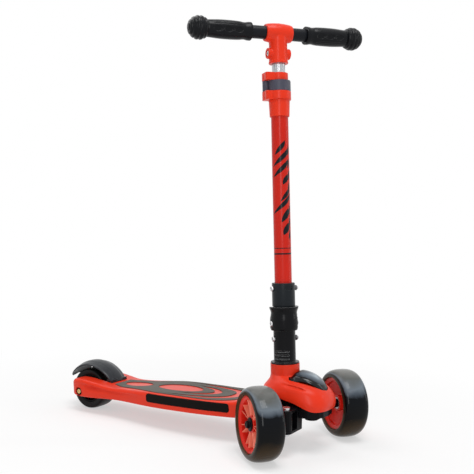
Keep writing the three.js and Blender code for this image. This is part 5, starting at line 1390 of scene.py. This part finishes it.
def flange(radius, low, high):
    """A round plate with an arm that reaches past the clamp's pin."""
    round_part = turned("flange", [(0, low), (radius, low), (radius, high), (0, high)], column, 96, 1.2)
    arm = [(-25.4, -11), (0, -11), (0, 11), (-25.4, 11), (-27.4, 9), (-27.4, -9)]
    return unite(round_part, prism("arm", arm, low, high, column))


neck = turned("clamp_collar_body", [
    (0, COLLAR_START), (16.6, COLLAR_START), (17, COLLAR_START + 1), (18.1, FLANGE_LOW),
    (14.9, FLANGE_LOW + 0.3), (14.9, COLLAR_TOP), (0, COLLAR_TOP)], column, 96, 0.6)
collar = unite(neck, flange(20.4, FLANGE_LOW, BAND_LOW), flange(16, BAND_TOP, COLLAR_TOP))
pin_place = column @ shift(*PIN, 0)
collar = carve(collar, rod_along("tube room", 15.1, 360, OUTER_TOP + 0.3, column, 96),
               rod_along("inner room", 11.6, COLLAR_START, 560, column, 96),
               block("split", (-60, 0), (-1, 1), (FLANGE_LOW + 0.6, 560), column),
               rod_along("pin hole", 2.7, FLANGE_LOW + 0.6, 560, pin_place))
place_piece(round_off(collar, 0.7, 40), "stem", "red_plastic", red_plastic, "clamp_collar", angle=34)

# %% Clamp band
BAND_OUTER, BAND_INNER = 19.6, 15.4
start, end = math.atan2(PIN[1], PIN[0]) - 2 * math.pi, math.radians(-10)
turns = [start + (end - start) * k / 72 for k in range(73)]
arc = [polar(BAND_OUTER, turn) for turn in turns] + [polar(BAND_INNER, turn) for turn in turns[::-1]]
low, high = BAND_LOW + 0.3, BAND_TOP - 0.3
band = unite(prism("clamp_band_lever", arc, low, high, column), rod_along("eye", 6, low, high, pin_place, 48),
             rod_along("tip", 2.6, low, high, column @ shift(*polar(18, end), 0), 32))
band = carve(band, rod_along("pin hole", 2.7, 400, 560, pin_place),
             rod_along("collar room", BAND_INNER, 400, 560, column, 112))
band = round_off(band, 0.9, 50)
place_piece(band, "height_clamp", "grey_plastic", band_plastic, "clamp_band", angle=34)

# %% [markdown]
# ## Handlebar head
# The red head takes the inner tube from below and the black bar from side to side. In the real moulding the
# barrel flows into the sleeve with a wide fillet. The bodies are therefore melted into one skin, and the
# bores are cut afterwards so that they stay crisp.

# %% Head
BAR_HALF = 137
barrel = turned("t_piece_moulding", [
    (0, -24), (14.3, -24), (15.5, -18), (16.5, -9), (16.9, 0), (16.5, 9), (15.5, 18), (14.3, 24), (0, 24)],
    bar_place, 96, 1.2)
sleeve = turned("sleeve", [
    (0, TEE_LOW), (16.8, TEE_LOW), (16.8, TEE_LOW + 2.6), (16.2, TEE_LOW + 4), (15.6, TEE_LOW + 30),
    (16.2, BAR_HEIGHT), (0, BAR_HEIGHT)], column, 96, 0.6)
bosses = turned("bosses", [(0, -20.5), (8.9, -20.5), (9.3, -19.5), (9.3, 19.5), (8.9, 20.5), (0, 20.5)],
                tee_place, 64, 0.6)
head_piece = melted(gather("t_piece_moulding", [barrel, sleeve, bosses]), 0.45, 10)
head_piece = carve(head_piece, rod_along("tube room", 11.6, TEE_LOW - 60, INNER_TOP + 0.3, column, 72),
                   rod_along("bar room", 11.3, -BAR_HALF, BAR_HALF, bar_place, 72),
                   rod_along("bolt hole", 2.8, -60, 60, tee_place),
                   rod_along("left well", 6, 16.1, 60, tee_place),
                   rod_along("right well", 6, -60, -16.1, tee_place))
place_piece(head_piece, "bars", "red_plastic", red_plastic, "t_piece", angle=50)

# %% Bar
bar = turned("handlebar_tube", [(11, -BAR_HALF), (11, BAR_HALF), (9.4, BAR_HALF), (9.4, -BAR_HALF)], bar_place,
             72, 0.3)
place_piece(bar, "bars", "bar_paint", bar_paint, "handlebar")

# %% [markdown]
# ## Grips
# Each rubber grip has a bell-shaped flange, a swelling handle with three oval finger hollows and a ribbed
# ball at its end. It is one turned piece whose outline holds the flange, the swell and the rings, and the
# hollows are pressed in by moving the surface where an oval covers it.

# %% Grips
HANDLE_RADIUS, HANDLE_END = 14.2, 127.2
BALL_MIDDLE, BALL_RINGS = 141, 6
SWELL = [[0, 0], [0.1, 0.6], [0.3, 0.95], [0.5, 1], [0.7, 0.8], [0.9, 0.25], [1, 0]]


def soft_step(value, width):
    """Goes from 1 to 0 where the value passes 0."""
    return 1 / (1 + math.exp(value / width))


def finger_hollows(front_turn):
    """Three ovals on the front of the handle and two long lines below them."""
    def bulge(turn, radius, height):
        if not 66 < height < 122 or radius < 12:
            return 0
        dip = 0.0
        front = math.atan2(math.sin(turn - front_turn), math.cos(turn - front_turn)) * 15
        for middle in (75.5, 93.5, 111.5):
            reach = ((height - middle) / 8.2) ** 2 + (front / 4.7) ** 2
            dip += 1.9 * soft_step(math.sqrt(reach) - 0.92, 0.035)
        for level in (9.5, 13.0):
            dip += 0.6 * math.exp(-((front - level) / 0.5) ** 2) * soft_step(abs(height - 93) - 25, 0.8)
        return -dip
    return bulge


def grip_outline():
    """From the flange along the swelling handle and over the ringed ball to its bore."""
    outline = [(11.3, 50.5), (15.2, 50.5), (15.4, 51.5), (15.3, 55), (14.9, 57.5), (14.3, 60),
               (HANDLE_RADIUS, 62), (HANDLE_RADIUS, 63.5)]
    for share in [k / 60 for k in range(1, 60)]:
        swell = curve_through(SWELL, share)[0]
        outline.append((HANDLE_RADIUS + 1.6 * swell, 64 + share * (HANDLE_END - 64)))
    first = math.atan2(HANDLE_RADIUS, HANDLE_END - BALL_MIDDLE)
    for share in [k / 120 for k in range(121)]:
        turn = first * (1 - share)
        ringed = 0.5 - 0.5 * math.cos(share * BALL_RINGS * 2 * math.pi)
        ball = 18.7 + 1.1 * min(1.0, ringed * 1.5) if turn > 0.28 else 18.9
        outline.append((max(0.0, ball * math.sin(turn)), BALL_MIDDLE + ball * math.cos(turn)))
    outline[-1] = (0, outline[-1][1])
    return [*outline, (0, BAR_HALF + 0.3), (11.3, BAR_HALF + 0.3)]


for side, word in SIDES.items():
    place = column @ shift(0, 0, BAR_HEIGHT) @ (HERE if side > 0 else spin(180, "Z")) @ ALONG_X
    hollows = finger_hollows(math.radians(side * -78))
    grip = turned(f"grip_{word}_rubber", grip_outline(), place, 160, 0, hollows)
    place_piece(grip, "bars", "grip_rubber", grip_rubber, f"grip_{word}", angle=60)

# %% [markdown]
# ## Springs and bolts
# Springs are swept wires on a helix. Cross bolts have a domed head with a socket, and their nuts are
# hexagons with chamfered corners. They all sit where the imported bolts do.

# %% Springs
def spring(name, coils, wire, radius, pitch, leg, place, body, replaced):
    """A wire wound about +Z with a straight leg at each end."""
    points = [(*polar(radius, 2 * math.pi * i / 24), pitch * (i / 24 - coils / 2))
              for i in range(coils * 24 + 1)]
    points = [(points[0][0], points[0][1] - leg, points[0][2]), *points,
              (points[-1][0], points[-1][1] + leg, points[-1][2])]
    mesh = bpy.data.meshes.new(name)
    mesh.from_pydata([Vector(p) * 0.001 for p in points], [(i, i + 1) for i in range(len(points) - 1)], [])
    obj = bpy.data.objects.new(name, mesh)
    scene.collection.objects.link(obj)
    grow(obj, wire_tree, place @ Matrix.Scale(1000, 4), Wire_radius=wire * 0.0005, Material=steel)
    return place_piece(outwards(obj), body, "plain_steel", None, replaced, angle=60)


spring("brake_spring_coil", 5, 1.3, 4.1, 2, 5, pivot, "frame", "brake_spring")
spring("release_spring_coil", 2, 1, 4.6, 1.6, 0.5, column @ shift(16.6, 0, HINGE) @ ALONG_X, "steering_column",
       "release_spring")

# %% Cross bolts, nuts and pins
def cross_bolt(name, head_seat, tail, place, body, replaced):
    """A bolt whose domed head sits at one side of the column and whose tail ends at the other."""
    end = -head_seat - 3.4
    outline = [(0, end + 2.2), (2.3, end + 2.2), (2.3, end + 0.4), (2.8, end), (4.0, end + 0.1),
               (4.8, end + 1.4), (4.8, -head_seat), (2.5, -head_seat), (2.5, tail - 0.5), (2.1, tail), (0, tail)]
    return place_piece(turned(name, outline, place, 48, 0.2), body, "plain_steel", steel, replaced)


def hexagon(name, radius, bore, low, thickness, place, body, replaced, material=dark_steel):
    """A nut whose corners are turned off at both faces."""
    high = low + thickness
    blank = prism(name, [polar(radius, math.radians(60 * k + 30)) for k in range(6)], low, high, place)
    chamfer = turned("chamfer", [
        (0, low - 0.01), (radius * 0.9, low - 0.01), (radius * 1.02, low + 0.7), (radius * 1.02, high - 0.7),
        (radius * 0.9, high + 0.01), (0, high + 0.01)], place, 48, 0)
    nut = carve(keep_inside(blank, chamfer), rod_along("bore", bore, low - 5, high + 5, place, 32))
    return place_piece(nut, body, "plain_steel", material, replaced)


cross_bolt("base_bolt_piece", 19.1, 26.1, base_place, "steering_column", "base_bolt")
cross_bolt("hinge_bolt_piece", 21.9, 24.6, hinge_place, "steering_column", "hinge_bolt")
cross_bolt("socket_bolt_piece", 20.0, 27.0, socket_place, "stem", "socket_bolt")
cross_bolt("t_bolt_piece", 16.4, 20.4, tee_place, "bars", "t_bolt")
hexagon("base_nut_piece", 5, 2.8, 19.1, 4, base_place, "steering_column", "base_nut")
hexagon("hinge_nut_piece", 5, 2.8, 22.2, 2.4, hinge_place, "steering_column", "hinge_nut")
hexagon("socket_nut_piece", 5, 2.8, 20.0, 4, socket_place, "stem", "socket_nut")
hexagon("t_nut_piece", 5, 2.8, 16.4, 4, tee_place, "bars", "t_nut")
hexagon("rear_axle_nut_piece", 6.5, 4.3, 44.5, 4, rear, "frame", "rear_axle_nut", steel)
axle_outline = [(0, -47.2), (2.2, -47.2), (2.6, -48.5), (5.6, -48.5), (6.5, -47.7), (6.5, -44.5), (4, -44.5),
                (4, 47.1), (3.6, 47.5), (0, 47.5)]
place_piece(turned("rear_axle_bolt_piece", axle_outline, rear, 48, 0.2), "frame", "brass_bolt", brass,
            "rear_axle_bolt")

# %% [markdown]
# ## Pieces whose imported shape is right
# Bearings, bushes, pins and the parts under the cowl are plain and mostly hidden, so they keep the packed
# shape and only get their finish. The edge group rounds their corners in the shading.

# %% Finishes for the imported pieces
kept = {
    steel: ["brake_pin", "rear_bearing_right", "rear_bearing_left", "kingpin_left", "kingpin_right",
            "axle_bolt_left", "axle_bolt_right", "bearing_inner_left", "bearing_outer_left",
            "bearing_inner_right", "bearing_outer_right", "tie_rod", "steering_shaft", "clamp_pin"],
    black_plastic: ["chassis", "head_bush_upper", "head_bush_lower", "knuckle_left", "knuckle_right",
                    "release_lever"],
}
for material, names in kept.items():
    for name in names:
        nodes[name].data.materials.clear()
        nodes[name].data.materials.append(material)
print("packed pieces with a new finish:", sum(map(len, kept.values())))

# %% Sizes of the finished model
low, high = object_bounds()
print("finished box in mm:", [round(v * 1000, 1) for v in (*low, *high)])
